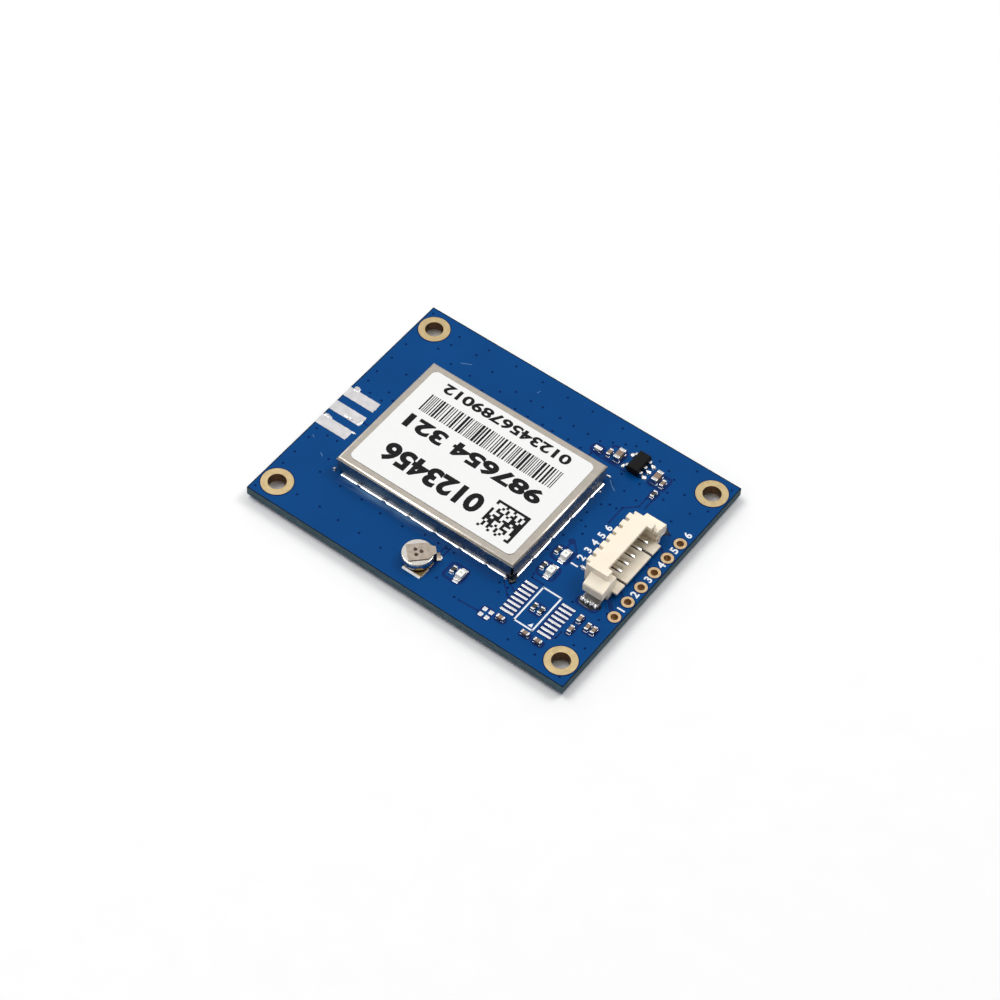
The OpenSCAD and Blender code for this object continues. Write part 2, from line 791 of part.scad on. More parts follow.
// Strap welded on the cell, with a leg that is bent down to the board
module cell_top_tab() {
    color("silver")
        at_cell()
            rotate(tab_turn) {
                difference() {
                    translate([0, 0, cell_top_z])
                        linear_extrude(tab_t)
                            polygon([[-tab_back, -top_tab_w / 2], [neck_start, -top_tab_w / 2],
                                [cell_d / 2, -neck_w / 2], [leg_p + tab_t, -neck_w / 2],
                                [leg_p + tab_t, neck_w / 2], [cell_d / 2, neck_w / 2],
                                [neck_start, top_tab_w / 2], [-tab_back, top_tab_w / 2]]);
                    for (i = [0 : weld_count - 1])
                        rotate(i * 360 / weld_count)
                            translate([weld_ring, 0, cell_top_z + tab_t - weld_depth])
                                cylinder(d = weld_d, h = cut);
                }
                translate([leg_p, -neck_w / 2, 0])
                    cube([tab_t, neck_w, cell_top_z + tab_t]);
                translate([leg_p, -neck_w / 2, 0])
                    cube([leg_foot_l, neck_w, tab_t]);
            }
}

// Children at the back of the connector, in the middle of its row of contacts
module at_connector() {
    translate([connector_x, connector_shift, board_t])
        children();
}

// Section of one ear, with a sloping top, a round outer edge and two grooves for the plug's keys
module ear_profile() {
    ear_w = (housing_w - cavity_w) / 2;
    slope = (ear_h - ear_side_h) / (ear_w - ear_flat);
    slant = sqrt(1 + slope * slope);
    mid = [ear_w - ear_r, ear_h - slope * (ear_w - ear_r - ear_flat) - ear_r * slant];
    difference() {
        union() {
            polygon([[0, 0], [ear_w, 0], [ear_w, mid.y], mid, mid + ear_r / slant * [slope, 1],
                [ear_flat, ear_h], [0, ear_h]]);
            translate(mid)
                circle(ear_r);
        }
        translate([-cut, groove_z])
            square([groove_d + cut, groove_h]);
        translate([-cut, floor_z])
            square([groove_d + cut, low_groove_h]);
    }
}

// One ear of the housing on the side that faces +Y, with a hollow for the solder tab
module ear() {
    difference() {
        translate([ear_back, cavity_w / 2, 0])
            rotate([90, 0, 90])
                linear_extrude(ear_l)
                    ear_profile();
        translate([ear_back - cut, housing_w / 2 - ear_hollow_d, -cut])
            cube([ear_l + 2 * cut, ear_hollow_d + cut, ear_hollow_h + cut]);
    }
}

// Guide wall beside the first contact, which lets the plug in only one way round
module guide_wall() {
    translate([back_wall - cut, -cavity_w / 2 - groove_d - cut, floor_gap])
        cube([ear_back + ear_l - back_wall + cut, guide_t + groove_d + cut, ear_h - floor_gap]);
}

// Room for one contact: a slot down the back, and a hole through the back wall
module contact_room() {
    hole_w = contact_w + 2 * contact_fit;
    translate([-cut, -back_slot_w / 2, -cut])
        cube([back_slot_d + cut, back_slot_w, connector_h + 2 * cut]);
    translate([0, -hole_w / 2, pin_z - pin_h / 2 - contact_fit])
        cube([back_wall + cut, hole_w, pin_h + 2 * contact_fit]);
}

// Back, roof and shoulders of the housing, hollowed out for the plug
module housing_shell() {
    difference() {
        union() {
            translate([0, -cavity_w / 2, 0])
                cube([roof_depth, cavity_w, connector_h]);
            translate([end_step, -roof_w / 2, 0])
                cube([roof_depth - end_step, roof_w, connector_h]);
            for (side = [-1, 1])
                translate([end_step, side * shoulder_y - shoulder_w / 2, floor_z])
                    cube([shoulder_depth - end_step, shoulder_w, connector_h - floor_z]);
        }
        translate([back_wall, -cavity_w / 2, floor_z])
            cube([connector_depth, cavity_w, connector_h - roof_t - floor_z]);
        translate([back_wall, -roof_w, -cut])
            cube([connector_depth, 2 * roof_w, floor_gap + cut]);
    }
}

module connector_housing() {
    color("ivory")
        at_connector()
            difference() {
                union() {
                    housing_shell();
                    translate([0, -cavity_w / 2, floor_gap])
                        cube([connector_depth, cavity_w, floor_t]);
                    ear();
                    mirror([0, 1, 0])
                        ear();
                    guide_wall();
                }
                for (y = pin_rows)
                    translate([0, y, 0])
                        contact_room();
                for (side = [-1, 1]) {
                    translate([-cut, side * cavity_w / 2 - end_notch_w / 2, connector_h / 2])
                        cube([back_slot_d + cut, end_notch_w, connector_h]);
                    translate([connector_depth - floor_slot_d, side * floor_slot_y - floor_slot_w / 2, 0])
                        cube([floor_slot_d + cut, floor_slot_w, floor_z + cut]);
                }
            }
}

// Stamped contact: a pin in the cavity, a stem in the back slot and a solder tail
module contact(number) {
    tip = pin_h * tip_share;
    pin_end = back_wall + pin_reach;
    color("lightgray")
        at_connector()
            translate([0, pin_rows[number - 1], 0])
                rotate([90, 0, 0])
                    linear_extrude(contact_w, center = true)
                        polygon([[-tail_l, 0], [stem_inset + contact_t, 0],
                            [stem_inset + contact_t, pin_z - pin_h / 2],
                            [pin_end - tip_l, pin_z - pin_h / 2], [pin_end, pin_z - pin_h / 2 + tip],
                            [pin_end, pin_z + pin_h / 2 - tip], [pin_end - tip_l, pin_z + pin_h / 2],
                            [stem_inset, pin_z + pin_h / 2], [stem_inset, contact_t],
                            [-tail_l, contact_t]]);
}

// Bent metal tab that solders one ear of the connector to the board
module solder_tab(side) {
    start = housing_w / 2 - ear_hollow_d;
    color("lightgray")
        at_connector()
            mirror([0, side < 0 ? 1 : 0, 0])
                translate([ear_back + (ear_l - solder_tab_w) / 2, start, 0])
                    rotate([90, 0, 90])
                        linear_extrude(solder_tab_w) {
                            square([tab_foot_l, contact_t]);
                            square([contact_t, ear_hollow_h]);
                        }
}

// Section of a moulded body with a flat band where the leads come out
module drafted_profile(w) {
    top = body_lift + regulator_h;
    polygon([[-w / 2 + draft, body_lift], [w / 2 - draft, body_lift], [w / 2, lead_z],
        [w / 2, lead_z + lead_t], [w / 2 - draft, top], [-w / 2 + draft, top],
        [-w / 2, lead_z + lead_t], [-w / 2, lead_z]]);
}

// Children at the middle of the regulator, on the board
module at_regulator() {
    translate([regulator_at.x, regulator_at.y, board_t])
        children();
}

module regulator_body() {
    color("dimgray")
        at_regulator()
            intersection() {
                rotate([90, 0, 0])
                    linear_extrude(regulator_l, center = true)
                        drafted_profile(regulator_w);
                rotate([90, 0, 90])
                    linear_extrude(regulator_w, center = true)
                        drafted_profile(regulator_l);
            }
}

// One bent lead that leaves the body towards +X
module lead() {
    knee = lead_reach * knee_share;
    heel = lead_reach * heel_share;
    rotate([90, 0, 0])
        linear_extrude(lead_w, center = true)
            translate([regulator_w / 2, 0])
                polygon([[0, lead_z], [knee, lead_z], [heel - lead_t, lead_t], [heel, 0],
                    [lead_reach, 0], [lead_reach, lead_t], [heel + lead_t / 2, lead_t],
                    [knee + lead_t, lead_z + lead_t], [0, lead_z + lead_t]]);
}

module regulator_leads() {
    color("lightgray")
        at_regulator() {
            for (i = right_leads)
                translate([0, i * lead_pitch, 0])
                    lead();
            for (i = left_leads)
                translate([0, i * lead_pitch, 0])
                    mirror([1, 0, 0])
                        lead();
        }
}

// Chip part with metal ends, lying along X with its middle at the place given
module chip_part(place, l, w, h, along_y = true) {
    end_l = l * end_share;
    translate([place.x, place.y, board_t])
        rotate(along_y ? 90 : 0) {
            translate([-l / 2 + end_t, -w / 2 + end_t, end_t])
                cube([l - 2 * end_t, w - 2 * end_t, h - 2 * end_t]);
            for (side = [-1, 1])
                translate([side * (l - end_l) / 2 - end_l / 2, -w / 2, 0])
                    cube([end_l, w, h]);
        }
}

// Small capacitor at a place that is given from the empty chip place
module chip_capacitor(step, along_y) {
    color("tan")
        chip_part([chip_x, chip_y] + step, small_l, small_w, small_cap_h, along_y);
}

// Resistor at a place on the board
module resistor(place) {
    color("dimgray")
        chip_part(place, small_l, small_w, resistor_h);
}

// Indicator light: a base plate with metal ends and a clear block with sloping ends
module indicator_light(place) {
    end_l = led_l * led_end_share;
    lens_l = led_l - 2 * end_l;
    slope = (led_h - led_base_h) * led_slope;
    color("white")
        translate([place.x, place.y, board_t])
            rotate(90) {
                translate([-led_l / 2, -led_w / 2, 0])
                    cube([led_l, led_w, led_base_h]);
                rotate([90, 0, 0])
                    linear_extrude(led_w, center = true)
                        polygon([[-lens_l / 2, led_base_h], [lens_l / 2, led_base_h],
                            [lens_l / 2 - slope, led_h], [-lens_l / 2 + slope, led_h]]);
            }
}

module supply_capacitor_in() {
    color("tan")
        chip_part(regulator_at + [supply_in_x, -supply_drop], supply_l, supply_w, supply_h);
}

module supply_capacitor_out() {
    color("tan")
        chip_part(regulator_at + [supply_out_x, -supply_drop], supply_l, supply_w, supply_h);
}

module filter_capacitor_in() {
    color("tan")
        chip_part(regulator_at + [filter_in_x, -filter_drop], small_l, small_w, small_cap_h);
}

module filter_capacitor_out() {
    color("tan")
        chip_part(regulator_at + [filter_out_x, -filter_drop], small_l, small_w, small_cap_h);
}

module supply_resistor() {
    resistor(regulator_at + [filter_out_x, supply_resistor_y]);
}

module supply_inductor() {
    color("white")
        chip_part(regulator_at + [inductor_x, -inductor_drop], small_l, small_w, small_cap_h, false);
}

circuit_board();
mounting_hole_rings();
wire_hole_rings();
antenna_edge_pads();
empty_chip_pads();
spare_pads();
shield_can();
shield_solder();
shield_label();
receiver_chip();
reference_oscillator();
clock_crystal();
band_filter();
input_amplifier();
cell_can();
cell_gasket();
cell_cap();
cell_top_tab();
cell_bottom_tab();
connector_housing();
contact(1);  // contact_1
contact(2);  // contact_2
contact(3);  // contact_3
contact(4);  // contact_4
contact(5);  // contact_5
contact(6);  // contact_6
solder_tab(-1);  // solder_tab_left
solder_tab(1);  // solder_tab_right
regulator_body();
regulator_leads();
supply_capacitor_in();
supply_capacitor_out();
filter_capacitor_in();
filter_capacitor_out();
supply_resistor();
supply_inductor();
indicator_light(led_1_at);  // light_1
indicator_light(led_2_at);  // light_2
indicator_light(led_3_at);  // light_3
resistor(led_1_at + light_resistor_step);  // light_resistor_1
resistor(led_2_at + light_resistor_step);  // light_resistor_2
resistor(led_3_at + light_resistor_step);  // light_resistor_3
resistor([chip_x - link_x, chip_y]);  // link_resistor_1
resistor([chip_x + link_x, chip_y]);  // link_resistor_2
chip_capacitor(chip_cap_1, false);  // chip_capacitor_1
chip_capacitor(chip_cap_2, false);  // chip_capacitor_2
chip_capacitor(chip_cap_3, false);  // chip_capacitor_3
chip_capacitor(chip_cap_4, true);  // chip_capacitor_4
chip_capacitor(chip_cap_5, true);  // chip_capacitor_5
chip_capacitor(chip_cap_6, true);  // chip_capacitor_6
chip_capacitor(chip_cap_7, true);  // chip_capacitor_7
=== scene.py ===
# %% [markdown]
# # A satellite positioning module
# A small blue circuit board lies flat on a pale table. It carries a folded metal shield
# with a paper label, a backup cell, a white wire connector, a regulator and chip parts.
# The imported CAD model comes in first, as a fixed frame in metres. Every piece made here
# takes its place from that frame, so the picture and the solids stay one object.

# %% Load the frame
import math

import bmesh
import bpy
from mathutils import Matrix, Vector, noise


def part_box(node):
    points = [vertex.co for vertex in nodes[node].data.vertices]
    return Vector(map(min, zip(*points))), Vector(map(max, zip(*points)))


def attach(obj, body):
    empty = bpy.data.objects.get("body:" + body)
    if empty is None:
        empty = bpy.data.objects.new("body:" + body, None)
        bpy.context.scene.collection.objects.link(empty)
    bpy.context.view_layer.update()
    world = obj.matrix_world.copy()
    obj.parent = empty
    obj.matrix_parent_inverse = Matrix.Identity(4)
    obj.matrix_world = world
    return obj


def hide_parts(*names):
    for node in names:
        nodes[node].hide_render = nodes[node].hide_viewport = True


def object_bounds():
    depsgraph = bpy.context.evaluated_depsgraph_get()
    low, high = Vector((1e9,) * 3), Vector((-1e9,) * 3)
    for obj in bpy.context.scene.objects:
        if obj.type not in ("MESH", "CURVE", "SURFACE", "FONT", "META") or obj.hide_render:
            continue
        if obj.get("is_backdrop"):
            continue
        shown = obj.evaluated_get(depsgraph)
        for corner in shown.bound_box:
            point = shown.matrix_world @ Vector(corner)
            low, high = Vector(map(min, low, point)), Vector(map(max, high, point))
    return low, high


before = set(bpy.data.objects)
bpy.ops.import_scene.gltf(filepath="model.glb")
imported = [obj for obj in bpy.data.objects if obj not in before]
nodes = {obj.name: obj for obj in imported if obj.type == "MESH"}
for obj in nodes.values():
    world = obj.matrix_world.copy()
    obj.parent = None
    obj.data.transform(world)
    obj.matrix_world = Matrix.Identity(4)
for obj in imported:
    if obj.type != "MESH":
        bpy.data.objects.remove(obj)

cad_low, cad_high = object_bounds()
print("CAD nodes:", len(nodes), "box in mm:", [round(v * 1000, 2) for v in cad_high - cad_low])

# %% [markdown]
# The board is only 44 mm long, so all sizes below are written in millimetres and a mesh is
# brought to metres once, at its end. `place_of` reads where a CAD node is, and `make_piece`
# turns a finished bmesh into an object at the origin that rides on the board. The Weighted
# Normal modifier keeps large flat faces flat beside their small round edges.

# %% Helpers that start and finish a piece
MM = 0.001


def place_of(node):
    low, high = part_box(node)
    return low / MM, high / MM


def make_piece(name, bm, finishes, replaced=(), sharp=40):
    bmesh.ops.scale(bm, vec=(MM, MM, MM), verts=bm.verts)
    mesh = bpy.data.meshes.new(name)
    bm.to_mesh(mesh)
    bm.free()
    for finish in finishes:
        mesh.materials.append(finish)
    mesh.shade_smooth()
    mesh.set_sharp_from_angle(angle=math.radians(sharp))
    obj = bpy.data.objects.new(name, mesh)
    bpy.context.scene.collection.objects.link(obj)
    obj.modifiers.new("Flat faces", "WEIGHTED_NORMAL").keep_sharp = True
    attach(obj, "root")
    if replaced:
        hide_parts(*replaced)
    print(f"{name}: {len(mesh.polygons)} faces")


# %% [markdown]
# Most parts on a board are blocks with soft edges, domes of solder or flat strips. Each of
# these starts from one of bmesh's own shapes. A helper remembers which faces were there
# before, so that the new ones can be given their finish.

# %% Helpers that add a shape to a bmesh
def fresh(bm, before):
    return [face for face in bm.faces if face not in before]


def paint(bm, before, finish):
    for face in fresh(bm, before):
        face.material_index = finish


def only_verts(made):
    return [part for part in made["geom"] if isinstance(part, bmesh.types.BMVert)]


def block(bm, low, high, edge=0.0, steps=2, finish=0, upright=False):
    before = set(bm.faces)
    low, high = Vector(low), Vector(high)
    size = high - low
    spot = Matrix.Translation((low + high) / 2) @ Matrix.Diagonal((*size, 1))
    made = bmesh.ops.create_cube(bm, size=1, matrix=spot)
    edges = {e for v in made["verts"] for e in v.link_edges}
    if upright:
        edges = {e for e in edges if abs(e.verts[0].co.z - e.verts[1].co.z) > size.z / 2}
    if edge:
        bmesh.ops.bevel(bm, geom=list(edges), offset=edge, segments=steps, profile=0.5,
                        affect="EDGES", material=-1)
    paint(bm, before, finish)


def disc(bm, x, y, low, high, r_low, r_high, sides=20, finish=0):
    before = set(bm.faces)
    spot = Matrix.Translation((x, y, (low + high) / 2))
    bmesh.ops.create_cone(bm, cap_ends=True, segments=sides, radius1=r_low, radius2=r_high,
                          depth=high - low, matrix=spot)
    paint(bm, before, finish)


def dome(bm, spot, reach, finish=0, rough=0.0, seed=0.0):
    # a lump that sits on the level of its spot: the upper half of a stretched sphere
    before = set(bm.faces)
    spot, reach = Vector(spot), Vector(reach)
    made = bmesh.ops.create_uvsphere(bm, u_segments=20, v_segments=12, radius=1)["verts"]
    for vert in made:
        ripple = 1 + rough * noise.noise(vert.co * 1.7 + Vector((seed, seed, 0)))
        vert.co = Vector([a * b for a, b in zip(vert.co, reach)]) * ripple + spot
    geom = {g for v in made for g in (v, *v.link_edges, *v.link_faces)}
    cut = bmesh.ops.bisect_plane(bm, geom=list(geom), plane_co=spot, plane_no=(0, 0, 1),
                                 clear_inner=True)
    rim = [g for g in cut["geom_cut"] if isinstance(g, bmesh.types.BMEdge)]
    bmesh.ops.holes_fill(bm, edges=rim, sides=0)
    paint(bm, before, finish)


def prism(bm, points, depth, spot=Matrix(), finish=0):
    # a flat outline given by a few points, drawn out straight, then put in its place
    before = set(bm.faces)
    outline = bm.faces.new([bm.verts.new(p) for p in points])
    grown = bmesh.ops.extrude_face_region(bm, geom=[outline])
    bmesh.ops.translate(bm, vec=depth, verts=only_verts(grown))
    faces = fresh(bm, before)
    bmesh.ops.recalc_face_normals(bm, faces=faces)
    bmesh.ops.transform(bm, matrix=spot, verts=list({v for f in faces for v in f.verts}))
    paint(bm, before, finish)


def ribbon(bm, points, width, low, high, finish=0):
    # a flat strip along a line of points, with round joints
    for (ax, ay), (bx, by) in zip(points, points[1:]):
        before = set(bm.faces)
        length = math.hypot(bx - ax, by - ay)
        spot = (Matrix.Translation(((ax + bx) / 2, (ay + by) / 2, (low + high) / 2))
                @ Matrix.Rotation(math.atan2(by - ay, bx - ax), 4, "Z")
                @ Matrix.Diagonal((length, width, high - low, 1)))
        bmesh.ops.create_cube(bm, size=1, matrix=spot)
        paint(bm, before, finish)
    for x, y in points:
        disc(bm, x, y, low, high, width / 2, width / 2, 12, finish)


def welded(node):
    # the CAD node's own triangles in millimetres, joined where they meet
    bm = bmesh.new()
    bm.from_mesh(nodes[node].data)
    bmesh.ops.scale(bm, vec=(1 / MM,) * 3, verts=bm.verts)
    bmesh.ops.remove_doubles(bm, verts=bm.verts, dist=0.0005)
    return bm


def soften(bm, edge, steps=2):
    # flat faces made whole again, then every sharp edge rounded
    bmesh.ops.dissolve_limit(bm, angle_limit=math.radians(1), verts=bm.verts, edges=bm.edges)
    if edge:
        sharp = [e for e in bm.edges
                 if len(e.link_faces) == 2 and e.calc_face_angle() > math.radians(30)]
        bmesh.ops.bevel(bm, geom=sharp, offset=edge, segments=steps, profile=0.5,
                        affect="EDGES", material=-1, clamp_overlap=True)


def cad_copy(node, edge=0.0, steps=2):
    bm = welded(node)
    soften(bm, edge, steps)
    return bm


BOARD_TOP = place_of("circuit_board")[1].z
print("board top at", round(BOARD_TOP, 3), "mm")

# %% [markdown]
# Colours are written as sRGB hex values, the numbers one reads off a screen, and turned to
# linear light once. A second small function adds any shader node with its settings and its
# links, and a third starts a material from the Principled shader. Hardly any real surface
# is one flat colour, so most finishes here are mottled: two close tones in soft patches.

# %% Helpers for colours and shader nodes
def srgb(code):
    parts = [int(code[i:i + 2], 16) / 255 for i in (0, 2, 4)]
    return (*[p / 12.92 if p <= 0.04045 else ((p + 0.055) / 1.055) ** 2.4 for p in parts], 1)


def add_node(tree, kind, inputs=None, **settings):
    node = tree.nodes.new("ShaderNode" + kind)
    for key, value in settings.items():
        setattr(node, key, value)
    for key, value in (inputs or {}).items():
        if isinstance(value, bpy.types.NodeSocket):
            tree.links.new(value, node.inputs[key])
        else:
            node.inputs[key].default_value = value
    return node


def new_finish(name, **constants):
    finish = bpy.data.materials.new(name)
    finish.use_nodes = True
    tree = finish.node_tree
    shader = tree.nodes["Principled BSDF"]
    for key, value in constants.items():
        shader.inputs[key.replace("_", " ")].default_value = value
    print("finish:", name)
    return finish, tree, shader, add_node(tree, "TexCoord").outputs["Object"]


def per_mm(size):
    # texture scale, in waves per metre, of a pattern whose marks are this many mm wide
    return 1 / (size * MM)


def mottled(name, dark, light, mark, detail, relief=0.0, **constants):
    # two tones in patches this many mm wide, which may also stand out a little
    finish, tree, shader, where = new_finish(name, **constants)
    patch = add_node(tree, "TexNoise", {"Vector": where, "Scale": per_mm(mark), "Detail": detail})
    tone = add_node(tree, "Mix", {0: patch.outputs["Fac"], 6: srgb(dark), 7: srgb(light)}, data_type="RGBA")
    tree.links.new(tone.outputs[2], shader.inputs["Base Color"])
    if relief:
        bump = add_node(tree, "Bump", {"Height": patch.outputs["Fac"], "Strength": relief,
                                       "Distance": 0.02 * MM})
        tree.links.new(bump.outputs[0], shader.inputs["Normal"])
    return finish, tree, shader, patch


def dress(finish, *names):
    # a CAD node that is shown as it is only takes a finish
    for name in names:
        nodes[name].material_slots[0].material = finish


# %% [markdown]
# ## Blue solder mask on glass laminate
# The board is glass cloth in epoxy, screened with a glossy blue lacquer on both faces. The
# lacquer is a little uneven, and its colour is deeper where it lies thick. The cut edge is
# bare and shows the grey-green layers of glass. One material serves both: it looks at
# which way the face points, so the CAD board can keep its own mesh.

# %% Finish: board
mask_blue, tree, shader, where = new_finish("solder_mask_on_laminate", IOR=1.5, Specular_IOR_Level=0.08)
cloud = add_node(tree, "TexNoise", {"Vector": where, "Scale": per_mm(7), "Detail": 3})
lacquer = add_node(tree, "Mix", {0: cloud.outputs["Fac"], 6: srgb("003F7A"), 7: srgb("004888")},
                   data_type="RGBA")
flat = add_node(tree, "Mapping", {"Vector": where, "Scale": (0.18, 0.18, 1)})
layers = add_node(tree, "TexNoise", {"Vector": flat.outputs[0], "Scale": per_mm(0.16), "Detail": 4})
glass = add_node(tree, "Mix", {0: layers.outputs["Fac"], 6: srgb("26343E"), 7: srgb("5C747C")},
                 data_type="RGBA")
facing = add_node(tree, "SeparateXYZ", {0: add_node(tree, "NewGeometry").outputs["Normal"]})
upright = add_node(tree, "Math", {0: facing.outputs["Z"]}, operation="ABSOLUTE")
is_face = add_node(tree, "Math", {0: upright.outputs[0], 1: 0.5}, operation="GREATER_THAN")
skin = add_node(tree, "Mix", {0: is_face.outputs[0], 6: glass.outputs[2], 7: lacquer.outputs[2]},
                data_type="RGBA")
gloss = add_node(tree, "MapRange", {0: is_face.outputs[0], 3: 0.75, 4: 0.3})
peel = add_node(tree, "TexNoise", {"Vector": where, "Scale": per_mm(0.5), "Detail": 2})
bump = add_node(tree, "Bump", {"Height": peel.outputs["Fac"], "Strength": 0.08, "Distance": 0.02 * MM})
tree.links.new(skin.outputs[2], shader.inputs["Base Color"])
tree.links.new(gloss.outputs[0], shader.inputs["Roughness"])
tree.links.new(bump.outputs[0], shader.inputs["Normal"])
dress(mask_blue, "circuit_board")

# %% [markdown]
# ## Lacquer over bare laminate
# Where the copper sheet under the lacquer is etched away, round pads and along traces, the
# same blue looks deeper, because no bright metal shines through. It is deepest where the
# lacquer fills a hole. Along the edge of the board runs a narrow near-black strip, darker
# than the board's cut edge.

# %% Finishes: deep blue lines and dots
DEEP = {
    # name: (dark tone, light tone)
    "solder_mask_over_gap": ("122860", "183670"),
    "solder_mask_in_hole": ("00184C", "00285C"),
    "dark_edge_strip": ("0A1420", "18242E"),
}
mask = {}
for name, (dark, light) in DEEP.items():
    mask[name] = mottled(name, dark, light, 0.6, 3, Roughness=0.4, IOR=1.5, Specular_IOR_Level=0.04)[0]

# %% [markdown]
# ## Metals of the board
# Immersion gold on the rings is a satin yellow. Inside the holes the plating is rough and
# has gone brown; in the mounting holes it is darkened further with painted shade. Tin on
# the bare pads is a soft white metal that levelled unevenly while it was molten. Solder is
# the same metal, but it set as smooth wet-looking lumps, so it is glossier and has larger
# ripples. The can is satin nickel silver of a warm grey, and the backup cell is steel. All
# are true metals: the colour is in the reflection, and a slow noise varies the roughness.

# %% Finishes: metals
METALS = {
    # name: (dark tone, light tone, mark size in mm, roughness from, to, bump strength)
    "immersion_gold": ("C2AB7E", "D6BF92", 0.5, 0.28, 0.42, 0.05),
    "worn_gold": ("C4A67E", "DCC29C", 0.4, 0.3, 0.45, 0.08),
    "brown_hole_plating": ("D0A06A", "F4D4A4", 0.35, 0.35, 0.5, 0.15),
    # painted shade: the mounting holes' lining is coloured dark for the shade deep inside them
    "hole_plating_with_painted_shade": ("4A3524", "7C5C40", 0.35, 0.35, 0.5, 0.15),
    "tinned_copper": ("CBC9CA", "DCDADB", 0.9, 0.3, 0.42, 0.06),
    "bright_solder": ("E6E6E8", "FAFAFA", 0.5, 0.08, 0.2, 0.1),
    "seam_solder": ("DCDCDE", "F2F2F2", 0.5, 0.2, 0.34, 0.08),
    "tin_plated_contact": ("C9C7C4", "ECEBE8", 0.4, 0.16, 0.3, 0.08),
    "tab_brass": ("B08C4C", "DCC48C", 0.8, 0.2, 0.36, 0.1),
    "nickel_silver_sheet": ("BBB3A8", "C6BEB3", 0.9, 0.22, 0.3, 0.0),
    "stainless_steel": ("A69A8D", "BAAEA1", 0.45, 0.25, 0.4, 0.02),
    # painted highlight: the cell can's steel is lighter than the tab's so that its rim shines
    "polished_steel_with_painted_highlight": ("D6D1CA", "EAE6E0", 0.45, 0.14, 0.24, 0.02),
    "burnt_weld": ("2E2823", "5A5048", 0.15, 0.35, 0.5, 0.3),
    # partly bare cut metal, partly painted shade: every contact face that does not face up takes it
    "cut_edge_and_painted_shade": ("2A241F", "4C433A", 0.3, 0.3, 0.45, 0.05),
}
metal = {}
for name, (dark, light, mark, r_from, r_to, strength) in METALS.items():
    metal[name], tree, shader, patch = mottled(name, dark, light, mark, 3, Metallic=1.0)
    worn = add_node(tree, "MapRange", {0: patch.outputs["Fac"], 1: 0.3, 2: 0.7, 3: r_from, 4: r_to})
    bump = add_node(tree, "Bump", {"Height": patch.outputs["Fac"], "Strength": strength,
                                   "Distance": 0.05 * MM})
    tree.links.new(worn.outputs[0], shader.inputs["Roughness"])
    tree.links.new(bump.outputs[0], shader.inputs["Normal"])
dress(metal["immersion_gold"], "mounting_hole_rings")
dress(metal["worn_gold"], "wire_hole_rings")

# %% [markdown]
# ## Lining of the holes
# Each hole is lined with a film of plated copper, brown with flux in the wire holes. In the
# mounting holes the lining is coloured much darker: painted shade, for the shade deep in the
# hole. A circle drawn out into a tube and given a thin wall towards the middle is enough,
# since one only ever sees its inside.

# %% Hole linings
ring_low, ring_high = place_of("wire_hole_rings")
WIRE_X, WIRE_PITCH, WIRE_R = (ring_low.x + ring_high.x) / 2, 2.54, 0.45
wire_spots = [(WIRE_X, (ring_low.y + ring_high.y) / 2 + (i - 2.5) * WIRE_PITCH) for i in range(6)]
MOUNT_SPOTS, MOUNT_R = [(x, y) for x in (-19.8, 19.8) for y in (-14.5, 14.5)], 1.1


def drawn_circle(bm, x, y, z, r, sides):
    # a circle whose edges are drawn out once; the new vertices are ready to be moved
    rim = bmesh.ops.create_circle(bm, segments=sides, radius=r, matrix=Matrix.Translation((x, y, z)))
    edges = {e for v in rim["verts"] for e in v.link_edges}
    return only_verts(bmesh.ops.extrude_edge_only(bm, edges=list(edges)))


for kind, spots, r, plating in (("wire", wire_spots, WIRE_R, "brown_hole_plating"),
                                ("mounting", MOUNT_SPOTS, MOUNT_R, "hole_plating_with_painted_shade")):
    bm = bmesh.new()
    for x, y in spots:
        upper = drawn_circle(bm, x, y, ring_low.z, r, 32)
        bmesh.ops.translate(bm, vec=(0, 0, ring_high.z - ring_low.z), verts=upper)
    bmesh.ops.recalc_face_normals(bm, faces=bm.faces)
    bmesh.ops.solidify(bm, geom=list(bm.faces), thickness=0.02)
    make_piece(kind + "_hole_linings", bm, [metal[plating]])

# %% [markdown]
# ## Stitching vias
# Dozens of tiny plated holes join the copper of the two faces. They are filled over with
# lacquer and show as dark blue dots. Each is a low cone on the top face and another let
# into the bottom face, so they catch a little light.

